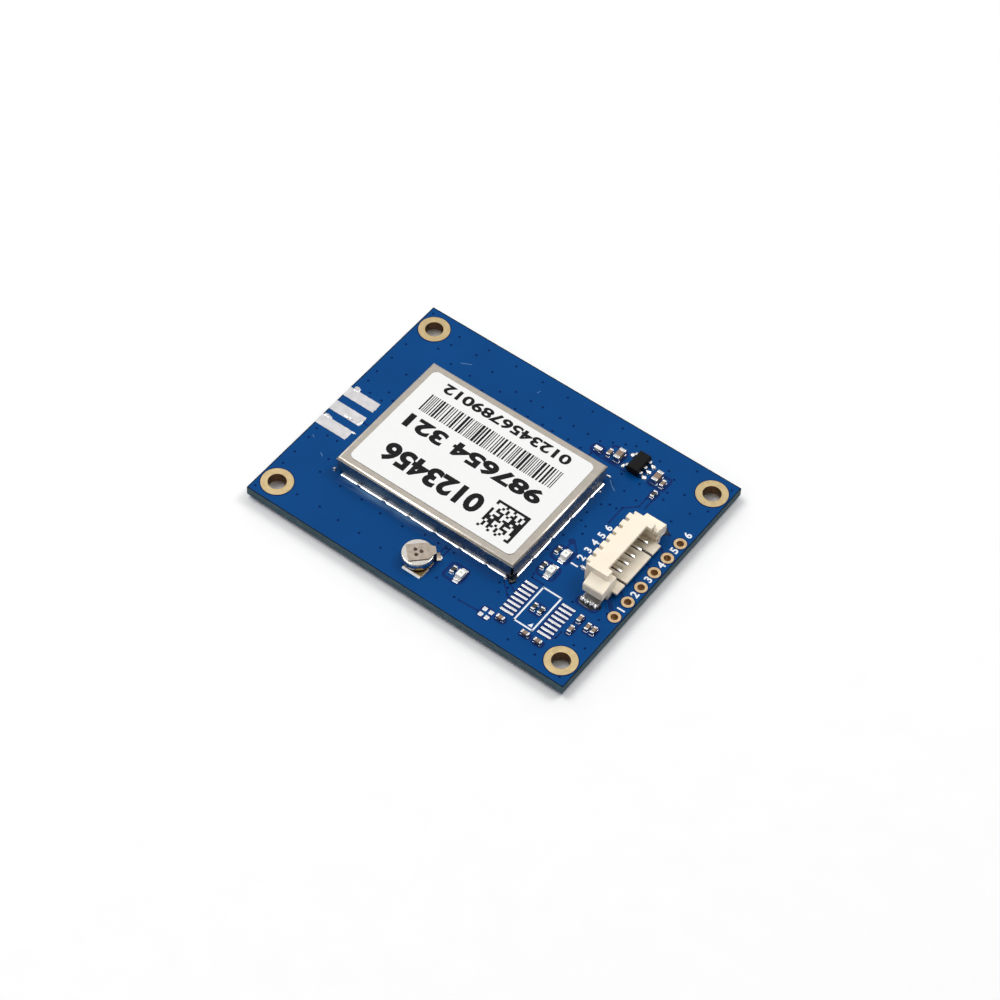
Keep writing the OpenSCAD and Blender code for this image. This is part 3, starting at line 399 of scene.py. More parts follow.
# %% Via dots
VIAS = [
    (-16.75, 15.4), (-16.75, 13.8), (-17.6, 12.4), (-15, 11.45), (-12.2, 11.4), (-10.5, 13.5),
    (-13.5, 14.4), (-12.8, 15.9), (-8.8, 15.9), (-21, 10.6), (-21, 7.95), (-18.1, 6.95),
    (-21.1, 5.25), (-21, 3.5), (-18, 3.6), (-16.9, 2.9), (-19.7, 2.2), (-17.95, 2.1),
    (-21.2, -5.7), (-19.55, -5.8), (-18.2, -5.75), (-21.1, -7.3), (-17.3, -8.4), (-16.9, -10.4),
    (-21, -9.9), (-21, -12), (-13.8, -10.6), (-10.75, -10.6), (-16.9, -14.5), (-13.8, -14.3),
    (-11, -14.5), (-21.4, -16.4), (-21.4, 16.4), (-7.9, -10.85), (-4.85, -10.75), (-2.1, -10.15),
    (-0.25, -10.15), (0.95, -10.15), (1.95, -10.15), (-8.05, -14.45), (-4.9, -14.6), (2.5, -14),
    (5.6, -14.9), (9, -11.35), (8.35, -10.25), (9.5, -10.25), (-4.95, 15.9), (-1.3, 15.8),
    (2.2, 15.9), (6.35, 16), (9.7, 16.2), (-6.5, 12.8), (-4.35, 12.75), (-2.7, 12.85),
    (-0.2, 12.8), (1.7, 12.8), (3.7, 12.85), (5.4, 12.9), (6.7, 13.6), (8, 14.3), (9.1, 14.85),
    (-8, 11.65), (-5.1, 10.7), (-3.25, 10.65), (-1.2, 10.75), (0.2, 10.7), (2.4, 10.8),
    (4.2, 10.7), (-9.75, 10.5), (16.65, 16.1), (12.5, 14.7), (14.1, 14.2), (17.45, 12.45),
    (20.85, 12.15), (19.45, 10.6), (15.95, 10.4), (12.55, 10.55), (10.1, 10.5), (13.6, 8.4),
    (18.4, 8.4), (19.4, 6.7), (10.8, 5.5), (11.6, 6.1), (12.5, 6.1), (15.3, 13.5), (15.75, 11.5),
    (11.75, 8.7), (10.2, 3.6), (10.4, 2.3), (11.6, 0.85), (11.25, 1.9), (10, -0.6), (9.75, -3.3),
    (20.1, -6.4), (13.6, -15.8), (17.1, -15.6), (20.9, -16.3), (19.7, -12), (10, -11.05),
    (21.3, 16.3), (16.2, -7.4), (19.9, -7.6), (20.9, -11.6),
]
bm = bmesh.new()
for x, y in VIAS:
    disc(bm, x, y, BOARD_TOP - 0.005, BOARD_TOP + 0.014, 0.18, 0.1, 16)
    disc(bm, x, y, 0.0, 0.02, 0.14, 0.2, 16)
make_piece("tented_vias", bm, [mask["solder_mask_in_hole"]])

# %% [markdown]
# ## Gaps in the copper
# Round the pads the copper sheet is cut back, which draws dark outlines in the lacquer, and
# traces run between two such lines. An outline is a thin plate whose top is inset: the rim
# takes the deep blue and the middle keeps the blue of the board. A trace is a strip. Thin
# dark rings lie round the gold ones, and a dark margin follows the edge of the board. All
# these films start just under the board's face, so no gap shows below them.

# %% Outlines and traces under the lacquer
FILM_LOW, FILM = BOARD_TOP - 0.004, BOARD_TOP + 0.006


def outline(bm, low, high, corner, width):
    before = set(bm.faces)
    block(bm, (*low, FILM_LOW), (*high, FILM), corner, 5, 0, upright=True)
    top = [f for f in fresh(bm, before) if f.calc_center_median().z > FILM - 0.001]
    if width:
        bmesh.ops.inset_region(bm, faces=top, thickness=width, use_even_offset=True)
        for face in top:
            face.material_index = 1


def ring(bm, x, y, inner, outer, low, high, finish=0):
    before = set(bm.faces)
    inside = drawn_circle(bm, x, y, low, outer, 48)
    bmesh.ops.scale(bm, vec=(inner / outer, inner / outer, 1), space=Matrix.Translation((-x, -y, 0)),
                    verts=inside)
    raised = bmesh.ops.extrude_face_region(bm, geom=fresh(bm, before))
    bmesh.ops.translate(bm, vec=(0, 0, high - low), verts=only_verts(raised))
    bmesh.ops.recalc_face_normals(bm, faces=fresh(bm, before))
    paint(bm, before, finish)


OUTLINES = [
    # low corner, high corner, corner radius, line width, or 0 where no copper is left inside
    ((4.95, 10.95), (6.85, 12.55), 0.7, 0.24), ((6.9, 11.1), (9.2, 13.6), 0.5, 0.22),
    ((12.9, 11.1), (15.4, 13.4), 0.5, 0.22), ((14.15, 9.4), (15.3, 11.05), 0.4, 0.2),
    ((10.3, -4.05), (12.85, -1.75), 0.6, 0.24), ((10.3, -6.85), (12.95, -4.45), 0.7, 0.24),
    ((2.5, -13.5), (5.15, -10.9), 0.6, 0.24), ((8.75, -15.4), (10.45, -13.6), 0.5, 0.26),
    ((10.4, -13.15), (12.25, -8.05), 0.3, 0), ((15.3, -13.15), (17.25, -8.05), 0.3, 0),
    ((12.95, -11.5), (14.65, -9.7), 0.35, 0.2), ((10.6, -14.65), (12.15, -13.65), 0.35, 0.2),
    ((13.9, -14.65), (15.5, -13.65), 0.35, 0.2), ((15.6, -14.65), (17.2, -13.65), 0.35, 0.2),
    ((17.85, -11.5), (18.75, -8.1), 0.35, 0.2), ((19.15, -10.1), (20.85, -8.4), 0.35, 0.2),
    ((16.2, -7.35), (19.2, -5.9), 0.6, 0.22),
]
TRACES = [
    [(14.35, 9.4), (14.35, 7.9)], [(15.05, 9.4), (15.05, 8.1)],
    [(14.2, 7.7), (13.0, 6.6), (13.0, 3.9)], [(11.35, -1.75), (11.35, -0.8)],
    [(11.6, -0.6), (13.3, -2.4)], [(10.55, -6.9), (10.75, -7.5), (12.3, -7.5)],
    [(1.25, -9.9), (1.25, -14.3)], [(0.7, -9.9), (0.7, -11.2)], [(6.2, -14.9), (8.7, -14.75)],
    [(19.75, 4.6), (20.4, 4.1)], [(19.75, 1.9), (20.4, 1.5)], [(19.8, -0.9), (20.4, -1.1)],
    [(19.6, -3.0), (20.35, -3.6)], [(18.9, -4.6), (20.4, -6.1)], [(19.2, -4.5), (20.5, -5.8)],
    [(16.9, -13.2), (17.6, -12.4), (17.6, -11.4)], [(8.6, -9.8), (10.3, -11.3)],
    [(9.4, -9.7), (10.35, -10.2)], [(5.6, 10.9), (5.6, 10.2)], [(6.3, 11.0), (10.2, 11.0)],
    [(-17.5, -1.78), (-16.0, -1.78)],
]
bm = bmesh.new()
for low, high, corner, width in OUTLINES:
    outline(bm, low, high, corner, 1.5 * width)
for trace in TRACES:
    ribbon(bm, trace, 0.2, FILM_LOW, FILM + 0.002)
disc(bm, 11.3, -0.75, FILM_LOW, FILM + 0.003, 0.42, 0.42, 24)
for spots, inner, outer in ((MOUNT_SPOTS, 1.86, 2.02), (wire_spots, 0.7, 0.86)):
    for x, y in spots:
        ring(bm, x, y, inner, outer, FILM_LOW, FILM, 2)
MARGIN = 0.12
edge_x, edge_y = cad_high.x / MM - MARGIN / 2, cad_high.y / MM - MARGIN / 2
round_edge = [(x * edge_x, y * edge_y) for x, y in ((-1, -1), (1, -1), (1, 1), (-1, 1), (-1, -1))]
ribbon(bm, round_edge, MARGIN, FILM_LOW, FILM, 3)
make_piece("copper_gaps", bm, [mask["solder_mask_over_gap"], mask_blue, mask["solder_mask_in_hole"],
                               mask["dark_edge_strip"]])

# %% [markdown]
# ## Screen print
# White ink marks the place of the empty chip and numbers the wires. The ink is a thin film
# with a dull, faintly speckled surface. The box round the chip is four strips. The numbers
# are text objects that are made a mesh first and then turned and put in place.

# %% Finish: white ink
ink_white = mottled("white_screen_ink", "D9E2EC", "FBFCFC", 0.12, 2, Roughness=0.55, IOR=1.5)[0]


def figures(bm, words, middle, tall, wide, low, thick, turn=180, bold=0.03, finish=0):
    # plain figures of a given height, and width if one is given, centred on a point
    before = set(bm.faces)
    curve = bpy.data.curves.new("figures", "FONT")
    curve.body, curve.resolution_u = words, 4
    curve.size, curve.offset, curve.extrude = 1, bold, 0.5
    holder = bpy.data.objects.new("figures", curve)
    bpy.context.scene.collection.objects.link(holder)
    mesh = bpy.data.meshes.new_from_object(holder.evaluated_get(bpy.context.evaluated_depsgraph_get()))
    bpy.data.objects.remove(holder)
    bpy.data.curves.remove(curve)
    spans = [[v.co[axis] for v in mesh.vertices] for axis in (0, 1)]
    centre = [(min(span) + max(span)) / 2 for span in spans]
    width, height = [max(span) - min(span) for span in spans]
    grow_y = tall / height
    grow_x = wide / width if wide else grow_y
    mesh.transform(Matrix.Translation((*middle, low + thick / 2))
                   @ Matrix.Rotation(math.radians(turn), 4, "Z")
                   @ Matrix.Diagonal((grow_x, grow_y, thick, 1))
                   @ Matrix.Translation((-centre[0], -centre[1], 0)))
    bm.from_mesh(mesh)
    bpy.data.meshes.remove(mesh)
    verts = {v for f in fresh(bm, before) for v in f.verts}
    bmesh.ops.remove_doubles(bm, verts=list(verts), dist=0.0005)
    paint(bm, before, finish)


# %% Chip box, first-pin mark and wire numbers
INK = 0.016
bm = bmesh.new()
box_x, box_y = (12.55, 15.0), (-13.25, -7.8)
corners = [(box_x[0], box_y[0]), (box_x[1], box_y[0]), (box_x[1], box_y[1]), (box_x[0], box_y[1])]
ribbon(bm, corners + corners[:1], 0.2, BOARD_TOP, BOARD_TOP + INK)
prism(bm, [(14.15, -12.95, BOARD_TOP), (14.72, -12.95, BOARD_TOP), (14.55, -12.4, BOARD_TOP)],
      (0, 0, INK))
for i, y in enumerate((-3.2, -1.9, -0.6, 0.7, 2.0, 3.3)):
    figures(bm, str(i + 1), (13.4, y), 0.95, None, BOARD_TOP, INK, 90)
for i, y in enumerate((-5.0, -2.4, 0.2, 2.7, 5.25, 7.95)):
    figures(bm, str(i + 1), (21.0, y), 1.0, None, BOARD_TOP, INK, 90)
make_piece("screen_print", bm, [ink_white])

# %% [markdown]
# ## Antenna edge pads
# Three bare pads once took an antenna socket. Their tin is lumpy and its outline ragged. A
# block is cut into a fine grid, and each point is moved a little by a smooth noise, more in
# height than sideways. A few domes stand for the lumps of solder that stayed behind.

# %% Edge pads
low, high = place_of("antenna_edge_pads")
PAD_W = 1.5
bm = bmesh.new()
for y in (0.77, -1.78, -4.33):
    block(bm, (low.x, y - PAD_W / 2, BOARD_TOP - 0.02), (high.x, y + PAD_W / 2, high.z))
bmesh.ops.subdivide_edges(bm, edges=list(bm.edges), cuts=14, use_grid_fill=True)
for vert in bm.verts:
    wave = noise.noise(vert.co * 1.6 + Vector((3, 1, 0)))
    if vert.co.z > BOARD_TOP:
        vert.co.z += 0.012 * wave
    vert.co.y += 0.05 * noise.noise(Vector((vert.co.x * 2.2, round(vert.co.y), 5)))
    if vert.co.x > high.x - 0.3:
        vert.co.x += 0.1 * noise.noise(Vector((vert.co.y * 2.5, 8, 2)))
dome(bm, (-21.15, 1.6, BOARD_TOP), (0.4, 0.42, 0.07), 0, 0.5, 2)
dome(bm, (-17.5, -3.65, BOARD_TOP), (0.32, 0.14, 0.07), 0, 0.4, 4)
dome(bm, (-21.3, -3.5, BOARD_TOP), (0.6, 0.28, 0.08), 0, 0.5, 6)
dome(bm, (-19.6, -2.2, BOARD_TOP + 0.02), (0.75, 0.26, 0.12), 1, 0.5, 9)
dome(bm, (-17.85, -1.95, BOARD_TOP), (0.3, 0.5, 0.07), 0, 0.4, 12)
make_piece("antenna_edge_tin", bm, [metal["tinned_copper"], metal["bright_solder"]],
           ["antenna_edge_pads"])

# %% [markdown]
# ## Pads of the empty chip, and spare pads
# These small pads have a full, slightly pillowed coat of tin. A copy of the CAD pads with
# softened edges gives each one its own line of light.

# %% Chip pads and spare pads
for node in ("empty_chip_pads", "spare_pads"):
    bm = cad_copy(node, 0.03, 3)
    make_piece(node + "_tin", bm, [metal["bright_solder"]], [node])

# %% [markdown]
# ## Shield can
# The can is one piece of thin nickel silver, folded down on four sides. Its walls act as
# dull mirrors for the blue board. The CAD copy has the folds, seams and foot holes; smooth
# shading does the rest.

# %% Can
make_piece("shield_folded_sheet", cad_copy("shield_can"), [metal["nickel_silver_sheet"]],
           ["shield_can"])

# %% [markdown]
# ## Solder round the foot of the can
# A thin seam of solder runs along each wall, with a wavy outer edge, and draws in at the
# small foot holes. A hollow section is drawn out along the wall, cut into short steps,
# and each step is made wider or narrower by noise and by the nearest hole.

# %% Solder seams
can_low, can_high = place_of("shield_can")
can_mid = (can_low + can_high) / 2
can_size = can_high - can_low
FOOT_RELIEF, HOLE_PITCH = 0.85, 3.6
SECTION = [(0, 0), (1, 0), (0.97, 0.1), (0.8, 0.17), (0.4, 0.26), (0.18, 0.44), (0.06, 0.7), (0, 1)]
SEAM_W, SEAM_H = 0.27, 0.28


def join(bm, part):
    mesh = bpy.data.meshes.new("part")
    part.to_mesh(mesh)
    part.free()
    bm.from_mesh(mesh)
    bpy.data.meshes.remove(mesh)


def seam(bm, length, count, spot, seed):
    holes = [(i - (count - 1) / 2) * HOLE_PITCH for i in range(count)]
    part = bmesh.new()
    prism(part, [(-length / 2, -a * SEAM_W, b * SEAM_H) for a, b in SECTION], (length, 0, 0))
    long_edges = [e for e in part.edges if e.calc_length() > length / 2]
    bmesh.ops.subdivide_edges(part, edges=long_edges, cuts=int(length / 0.16))
    for vert in part.verts:
        near = min(abs(vert.co.x - h) for h in holes)
        full = 1 - 0.75 * max(0, 1 - near / 0.34)
        vert.co.y *= full * (0.95 + 0.3 * noise.noise(Vector((vert.co.x * 0.7, seed, 0))))
        vert.co.z *= full * (0.9 + 0.2 * noise.noise(Vector((vert.co.x * 1.2, seed + 7, 0))))
    bmesh.ops.transform(part, matrix=spot, verts=part.verts)
    join(bm, part)


def wall_spot(turn, across):
    # the frame of one wall: X runs along its foot, and -Y points away from the can
    return (Matrix.Translation((can_mid.x, can_mid.y, BOARD_TOP))
            @ Matrix.Rotation(math.radians(turn), 4, "Z") @ Matrix.Translation((0, -across / 2, 0)))


WALLS = [(0, can_size.x, can_size.y, 6), (90, can_size.y, can_size.x, 4),
         (180, can_size.x, can_size.y, 6), (270, can_size.y, can_size.x, 4)]
bm = bmesh.new()
for turn, length, across, count in WALLS:
    seam(bm, length - 2 * FOOT_RELIEF, count, wall_spot(turn, across), turn / 10)
dome(bm, (can_low.x - 0.2, can_low.y - 0.02, BOARD_TOP), (0.3, 0.24, 0.3), 0, 0.3, 1)
for i, (x, y, r) in enumerate(((8.5, -9.3, 0.2), (9.4, -8.4, 0.17), (9.3, -9.35, 0.13),
                               (9.7, 6.9, 0.12))):
    dome(bm, (x, y, BOARD_TOP), (r, r * 1.2, r), 0, 0.25, i)
dome(bm, (9.15, 9.3, BOARD_TOP), (0.32, 0.17, 0.16), 0, 0.2, 7)
make_piece("shield_seams", bm, [metal["seam_solder"]], ["shield_solder"], 75)

# %% [markdown]
# ## Rosin in the foot holes
# Soldering flux boiled up into the small holes at the foot of the can and set there as
# beige resin. At the can's front corner a larger lump of burnt flux is dark and glassy. Both
# are flattened domes: the plugs stand just inside the wall, the lump fills the corner.

# %% Finishes: pale and burnt rosin, and the plugs
ROSINS = {
    # name: (dark tone, light tone, mark size in mm, roughness)
    "pale_rosin": ("A8977C", "D9CBB2", 0.2, 0.3),
    "burnt_rosin": ("06090F", "16202E", 0.3, 0.12),
}
rosin = {}
for name, (dark, light, mark, rough) in ROSINS.items():
    rosin[name] = mottled(name, dark, light, mark, 3, Roughness=rough, IOR=1.54, Specular_IOR_Level=0.3)[0]
bm = bmesh.new()
for turn, length, across, count in WALLS:
    spot = wall_spot(turn, across)
    for i in range(count):
        place = spot @ Vector(((i - (count - 1) / 2) * HOLE_PITCH, 0.12, 0.02))
        reach = (0.2, 0.1, 0.3) if turn % 180 == 0 else (0.1, 0.2, 0.3)
        dome(bm, place, reach, 0, 0.2, i + turn)
dome(bm, (8.88, -8.8, BOARD_TOP), (0.55, 0.5, 0.75), 1, 0.6, 3)
dome(bm, (9.25, -9.15, BOARD_TOP), (0.45, 0.5, 0.22), 1, 0.6, 5)
make_piece("rosin_plugs", bm, [rosin["pale_rosin"], rosin["burnt_rosin"]], (), 120)

# %% [markdown]
# ## Label
# A white paper label with round corners lies on the can. Its coat is smooth, with a trace of
# paper fibre. The black print is generic: rows of plain figures that only count up or down,
# a row of bars of different widths, and a square field of cells. The print is a separate
# thin film, so its edges stay crisp.

# %% Finishes: coated paper and black ink
paper = mottled("coated_label_paper", "EEEEED", "F4F4F3", 0.25, 4, 0.05, Roughness=0.5, IOR=1.45)[0]
ink_black = mottled("black_label_ink", "0C0C0D", "202022", 0.3, 2, Roughness=0.5, IOR=1.5,
                    Specular_IOR_Level=0.1)[0]

# %% Label and its print
low, high = place_of("shield_label")
bm = bmesh.new()
block(bm, low, high, 0.75, 8, 0, upright=True)
make_piece("label_paper", bm, [paper], ["shield_label"])
PRINT_LOW, PRINT_HIGH = high.z - 0.004, high.z + 0.008
PRINT_THICK = PRINT_HIGH - PRINT_LOW
bm = bmesh.new()
CELL, CELLS, FIELD = 0.34, 13, (2.5, -7.0)
filled = 0
for i in range(CELLS):
    for j in range(CELLS):
        inked = (i == CELLS - 1 or j == CELLS - 1 or (i * i * 7 + j * j * 5 + i * j * 3) % 11 < 5)
        if inked:
            x, y = FIELD[0] + i * CELL, FIELD[1] + j * CELL
            block(bm, (x, y, PRINT_LOW), (x + CELL, y + CELL, PRINT_HIGH))
            filled += 1
for words, middle, tall, wide, bold in (("0123456", (-5.3, -4.75), 2.9, 13.6, 0.045),
                                        ("987654 321", (-3.3, 0.2), 2.2, 19.0, 0.045),
                                        ("0123456789012", (-3.3, 6.55), 1.5, 17.8, 0.035)):
    figures(bm, words, middle, tall, wide, PRINT_LOW, PRINT_THICK, 180, bold)
BAR_WIDTHS = (0.11, 0.2, 0.13, 0.34, 0.1, 0.16, 0.22, 0.12, 0.28, 0.1)
BAR_GAPS = (0.14, 0.2, 0.12, 0.26, 0.16)
x, step = 5.95, 0
while x > -12.5:
    wide = BAR_WIDTHS[(step * 7 + step // 5) % 10]
    gap = BAR_GAPS[(step * 3 + step // 4) % 5]
    block(bm, (x - wide, 2.1, PRINT_LOW), (x, 4.85, PRINT_HIGH))
    x, step = x - wide - gap, step + 1
make_piece("label_print", bm, [ink_black])
print("bars:", step, "cells:", filled)

# %% [markdown]
# ## Backup cell
# A small sealed cell of stainless steel stands on a square tab and has a second tab welded
# on its top, bent down to the board. The welds left three round dents. The CAD copies keep
# that form. The can's steel is smoother and lighter than the same steel of the welded tab, a
# painted highlight that makes its bright rim, and the welded tab is a dull warm grey.

# %% Cell
# the can's lighter steel is a painted highlight for its bright rim
make_piece("cell_steel_can", cad_copy("cell_can"), [metal["polished_steel_with_painted_highlight"]], ["cell_can"])
bm = cad_copy("cell_top_tab", 0.025, 2)
plate_top = place_of("cell_top_tab")[1].z
for face in bm.faces:
    if plate_top - 0.06 < face.calc_center_median().z < plate_top - 0.04 and face.normal.z > 0.9:
        face.material_index = 1
make_piece("cell_welded_tab", bm, [metal["stainless_steel"], metal["burnt_weld"]],
           ["cell_top_tab"])
make_piece("cell_foot_tab", cad_copy("cell_bottom_tab", 0.03, 2), [metal["tab_brass"]],
           ["cell_bottom_tab"])
dress(metal["polished_steel_with_painted_highlight"], "cell_cap")

# %% [markdown]
# The lower tab is soldered along its two front edges and the bent leg at its foot. A hollow
# section is drawn out along each edge, and a flat dome covers the foot.

# %% Solder of the cell
low, high = place_of("cell_bottom_tab")
TOE = [(0, 0), (0.26, 0), (0.24, 0.04), (0.12, 0.08), (0, 0.15)]
bm = bmesh.new()
prism(bm, [(low.x, low.y - a, BOARD_TOP + b) for a, b in TOE], (high.x - low.x, 0, 0))
prism(bm, [(high.x + 0.6 * a, low.y, BOARD_TOP + b) for a, b in TOE], (0, 1.4, 0))
dome(bm, (1.05, -11.55, BOARD_TOP), (0.34, 0.28, 0.06), 0, 0.3, 2)
make_piece("cell_joints", bm, [metal["bright_solder"]], (), 75)

# %% [markdown]
# ## Ivory connector
# The housing is injection moulded nylon in a warm ivory. The mould leaves softly rounded
# edges, which the bevel gives, and a matte skin with a very fine texture. Nylon lets a
# little light in, so the finish has a touch of subsurface scattering over a third of a
# millimetre. The housing is alike on both sides but for a guide wall beside the first
# contact, so one half is cut off, mirrored, and the wall is set in as a block.

# %% Finish: moulded nylon, and the housing
nylon, tree, shader = mottled(
    "ivory_moulded_nylon", "F8EAD4", "FDF3E0", 1.6, 3, Roughness=0.45, IOR=1.53, Subsurface_Weight=0.12,
    Subsurface_Radius=(1, 0.8, 0.5), Subsurface_Scale=0.3 * MM)[:3]
skin = add_node(tree, "TexNoise", {"Vector": add_node(tree, "TexCoord").outputs["Object"],
                                   "Scale": per_mm(0.08), "Detail": 2})
bump = add_node(tree, "Bump", {"Height": skin.outputs["Fac"], "Strength": 0.08, "Distance": 0.02 * MM})
tree.links.new(bump.outputs[0], shader.inputs["Normal"])
# the guide wall, measured from the housing's back, its middle and the board
GUIDE_LOW, GUIDE_HIGH = Vector((1.1, -4.5, 0.46)), Vector((3.7, -3.5, 2.53))
bm = welded("connector_housing")
low, high = place_of("connector_housing")
middle = (low.y + high.y) / 2
bmesh.ops.translate(bm, vec=(0, -middle, 0), verts=bm.verts)
bmesh.ops.bisect_plane(bm, geom=bm.verts[:] + bm.edges[:] + bm.faces[:], dist=0.0001,
                       plane_co=(0, 0, 0), plane_no=(0, 1, 0), clear_inner=True)
bmesh.ops.mirror(bm, geom=bm.verts[:] + bm.edges[:] + bm.faces[:], merge_dist=0.001, axis="Y")
bmesh.ops.recalc_face_normals(bm, faces=bm.faces)
bmesh.ops.translate(bm, vec=(0, middle, 0), verts=bm.verts)
soften(bm, 0.06, 3)
start = Vector((low.x, middle, BOARD_TOP))
block(bm, start + GUIDE_LOW, start + GUIDE_HIGH, 0.06, 3)
make_piece("connector_nylon", bm, [nylon], ["connector_housing"])

# %% [markdown]
# ## Contacts and their solder
# Six stamped pins run from the cavity through the back wall to solder tails on the board,
# and a bent tab holds each ear. The strip was tinned before it was stamped, so its upper
# side is bright and its cut sides are bare. Every face that does not face up, the tinned
# underside too, takes a dark finish: partly the bare cut metal, partly painted shade on the
# pins' sides. Domes of solder cover the tails' ends and pile up over the tabs, where the
# joint was made by hand.

# %% Contacts, tabs and their joints
for i in range(1, 7):
    node = f"contact_{i}"
    bm = cad_copy(node, 0.03, 2)
    for face in bm.faces:
        # faces that do not face up, the tinned underside too, take the dark finish: painted shade on the
        # pins' sides
        face.material_index = int(face.normal.z < 0.6)
    make_piece(node + "_tin", bm, [metal["tin_plated_contact"], metal["cut_edge_and_painted_shade"]],
               [node])
bm = bmesh.new()
for i in range(1, 7):
    low, high = place_of(f"contact_{i}")
    y = (low.y + high.y) / 2
    dome(bm, (low.x + 0.35, y, BOARD_TOP), (0.5, 0.26, 0.24), 0, 0.25, i)
make_piece("contact_joints", bm, [metal["bright_solder"]], (), 75)
LUMPS = ((-0.9, -0.1, 0.4), (-0.3, -0.02, 0.42), (0.3, -0.1, 0.44), (0.85, -0.06, 0.36))
bm = bmesh.new()
for node, side in (("solder_tab_left", -1), ("solder_tab_right", 1)):
    tab = cad_copy(node, 0.04, 2)
    make_piece(node + "_tin", tab, [metal["tin_plated_contact"]], [node])
    low, high = place_of(node)
    edge = low.y if side < 0 else high.y
    mid = (low.x + high.x) / 2
    dome(bm, (mid, edge - side * 0.05, BOARD_TOP), (1.5, 0.75, 0.06), 1, 0.2, side)
    for i, (dx, dy, r) in enumerate(LUMPS):
        dome(bm, (mid + dx, edge + side * dy, BOARD_TOP), (r, 0.85 * r, 0.8 * r), 0, 0.45, i * 3 + side)
make_piece("tab_joints", bm, [metal["bright_solder"], rosin["burnt_rosin"]], (), 120)

# %% [markdown]
# ## Regulator
# A five-legged package of black moulding compound: epoxy filled with fine glass, so it is
# matte and faintly grainy. The legs are bright tin with a small dome of solder on each foot.

# %% Finish: moulding compound, and the regulator
compound = mottled("black_moulding_compound", "0B0B0B", "1A1A1B", 0.1, 3, 0.2, Roughness=0.6, IOR=1.55,
                   Specular_IOR_Level=0.1)[0]
make_piece("regulator_compound", cad_copy("regulator_body", 0.04, 2), [compound],
           ["regulator_body"])
low, high = place_of("regulator_leads")
mid = (low + high) / 2
bm = cad_copy("regulator_leads", 0.02, 2)
for side, rows in ((1, (-0.95, 0, 0.95)), (-1, (-0.95, 0.95))):
    for row in rows:
        x = mid.x + side * ((high.x - low.x) / 2 - 0.02)
        dome(bm, (x, mid.y + row, BOARD_TOP), (0.32, 0.32, 0.19), 1, 0.2, row * 3 + side)
make_piece("regulator_legs", bm, [metal["tin_plated_contact"], metal["bright_solder"]],
           ["regulator_leads"])

# %% [markdown]
# ## Chip parts
# Capacitors are blocks of brown ceramic, resistors are thin white tiles under black glass,
# and the inductor is pale ferrite ceramic. All have dipped metal ends that wrap round five
# sides, and a hollow fillet of solder climbs each end from the pad. One function builds a
# part from its CAD node's box and turns it to the node's long side.

# %% Finishes: ceramics
CERAMICS = {
    # name: (dark tone, light tone, grain in mm, roughness, slot)
    "brown_barium_ceramic": ("76614F", "98806C", 0.25, 0.48, "brown_ceramic"),
    "black_resistor_glass": ("101012", "26262A", 0.3, 0.28, "black_ceramic"),
    "pale_ferrite_ceramic": ("E4E2DC", "F6F5F1", 0.3, 0.4, "white_ceramic"),
}
ceramic = {}
for name, (dark, light, grain, rough, slot) in CERAMICS.items():
    ceramic[name] = mottled(name, dark, light, grain, 4, 0.1, Roughness=rough, IOR=1.6)[0], slot


def along(node):
    # half sizes along and across a node's long side, its height, and the matrix to its place
    low, high = place_of(node)
    size, mid = high - low, (low + high) / 2
    turn = 90 if size.y > size.x else 0
    spot = Matrix.Translation((mid.x, mid.y, low.z)) @ Matrix.Rotation(math.radians(turn), 4, "Z")
    return max(size.x, size.y) / 2, min(size.x, size.y) / 2, size.z, spot


def fillet(bm, start, half, height, reach, side, finish):
    # solder that climbs an end face: a hollow section drawn out across the part
    section = ((0, 0), (1, 0), (0.55, 0.16), (0.25, 0.42), (0, 1))
    points = [(start + side * reach * a, -half, height * b) for a, b in section]
    prism(bm, points, (0, 2 * half, 0), Matrix(), finish)


def chip(node, body):
    half, side_half, height, spot = along(node)
    bm = bmesh.new()
    end = 0.5 * half
    far = Vector((half - 0.04, side_half - 0.02, height - 0.02))
    block(bm, (-far.x, -far.y, 0.03), far, 0.03, 2, 0)
    for side in (-1, 1):
        a, b = sorted((side * half, side * (half - end)))
        block(bm, (a, -side_half, 0.015), (b, side_half, height), 0.06, 3, 1)
        a, b = sorted((side * (half - end), side * (half + 0.03)))
        block(bm, (a, -side_half, 0), (b, side_half, 0.03), 0.02, 2, 2)
        fillet(bm, side * (half - 0.03), side_half * 0.92, height * 0.6, 0.1, side, 2)
    bmesh.ops.transform(bm, matrix=spot, verts=bm.verts)
    finish, slot = ceramic[body]
    make_piece(node + "_chip", bm, [finish, metal["tin_plated_contact"], metal["bright_solder"]],
               [node])


# %% Capacitors, resistors and the inductor
for node in ("supply_capacitor_in", "supply_capacitor_out", "filter_capacitor_in", "filter_capacitor_out"):
    chip(node, "brown_barium_ceramic")
for i in range(1, 8):
    chip(f"chip_capacitor_{i}", "brown_barium_ceramic")
for node in ("supply_resistor", "light_resistor_1", "light_resistor_2", "light_resistor_3",
             "link_resistor_1", "link_resistor_2"):
    chip(node, "black_resistor_glass")
chip("supply_inductor", "pale_ferrite_ceramic")

# %% [markdown]
# ## Indicator lights
# A light is a thin base plate with metal ends and a milky block of resin cast on it. The
# resin is glossy and its ends slope a little. Under it lies a small green-grey die, seen as
# a faint dot, which is set as a thin chip on the resin's top.

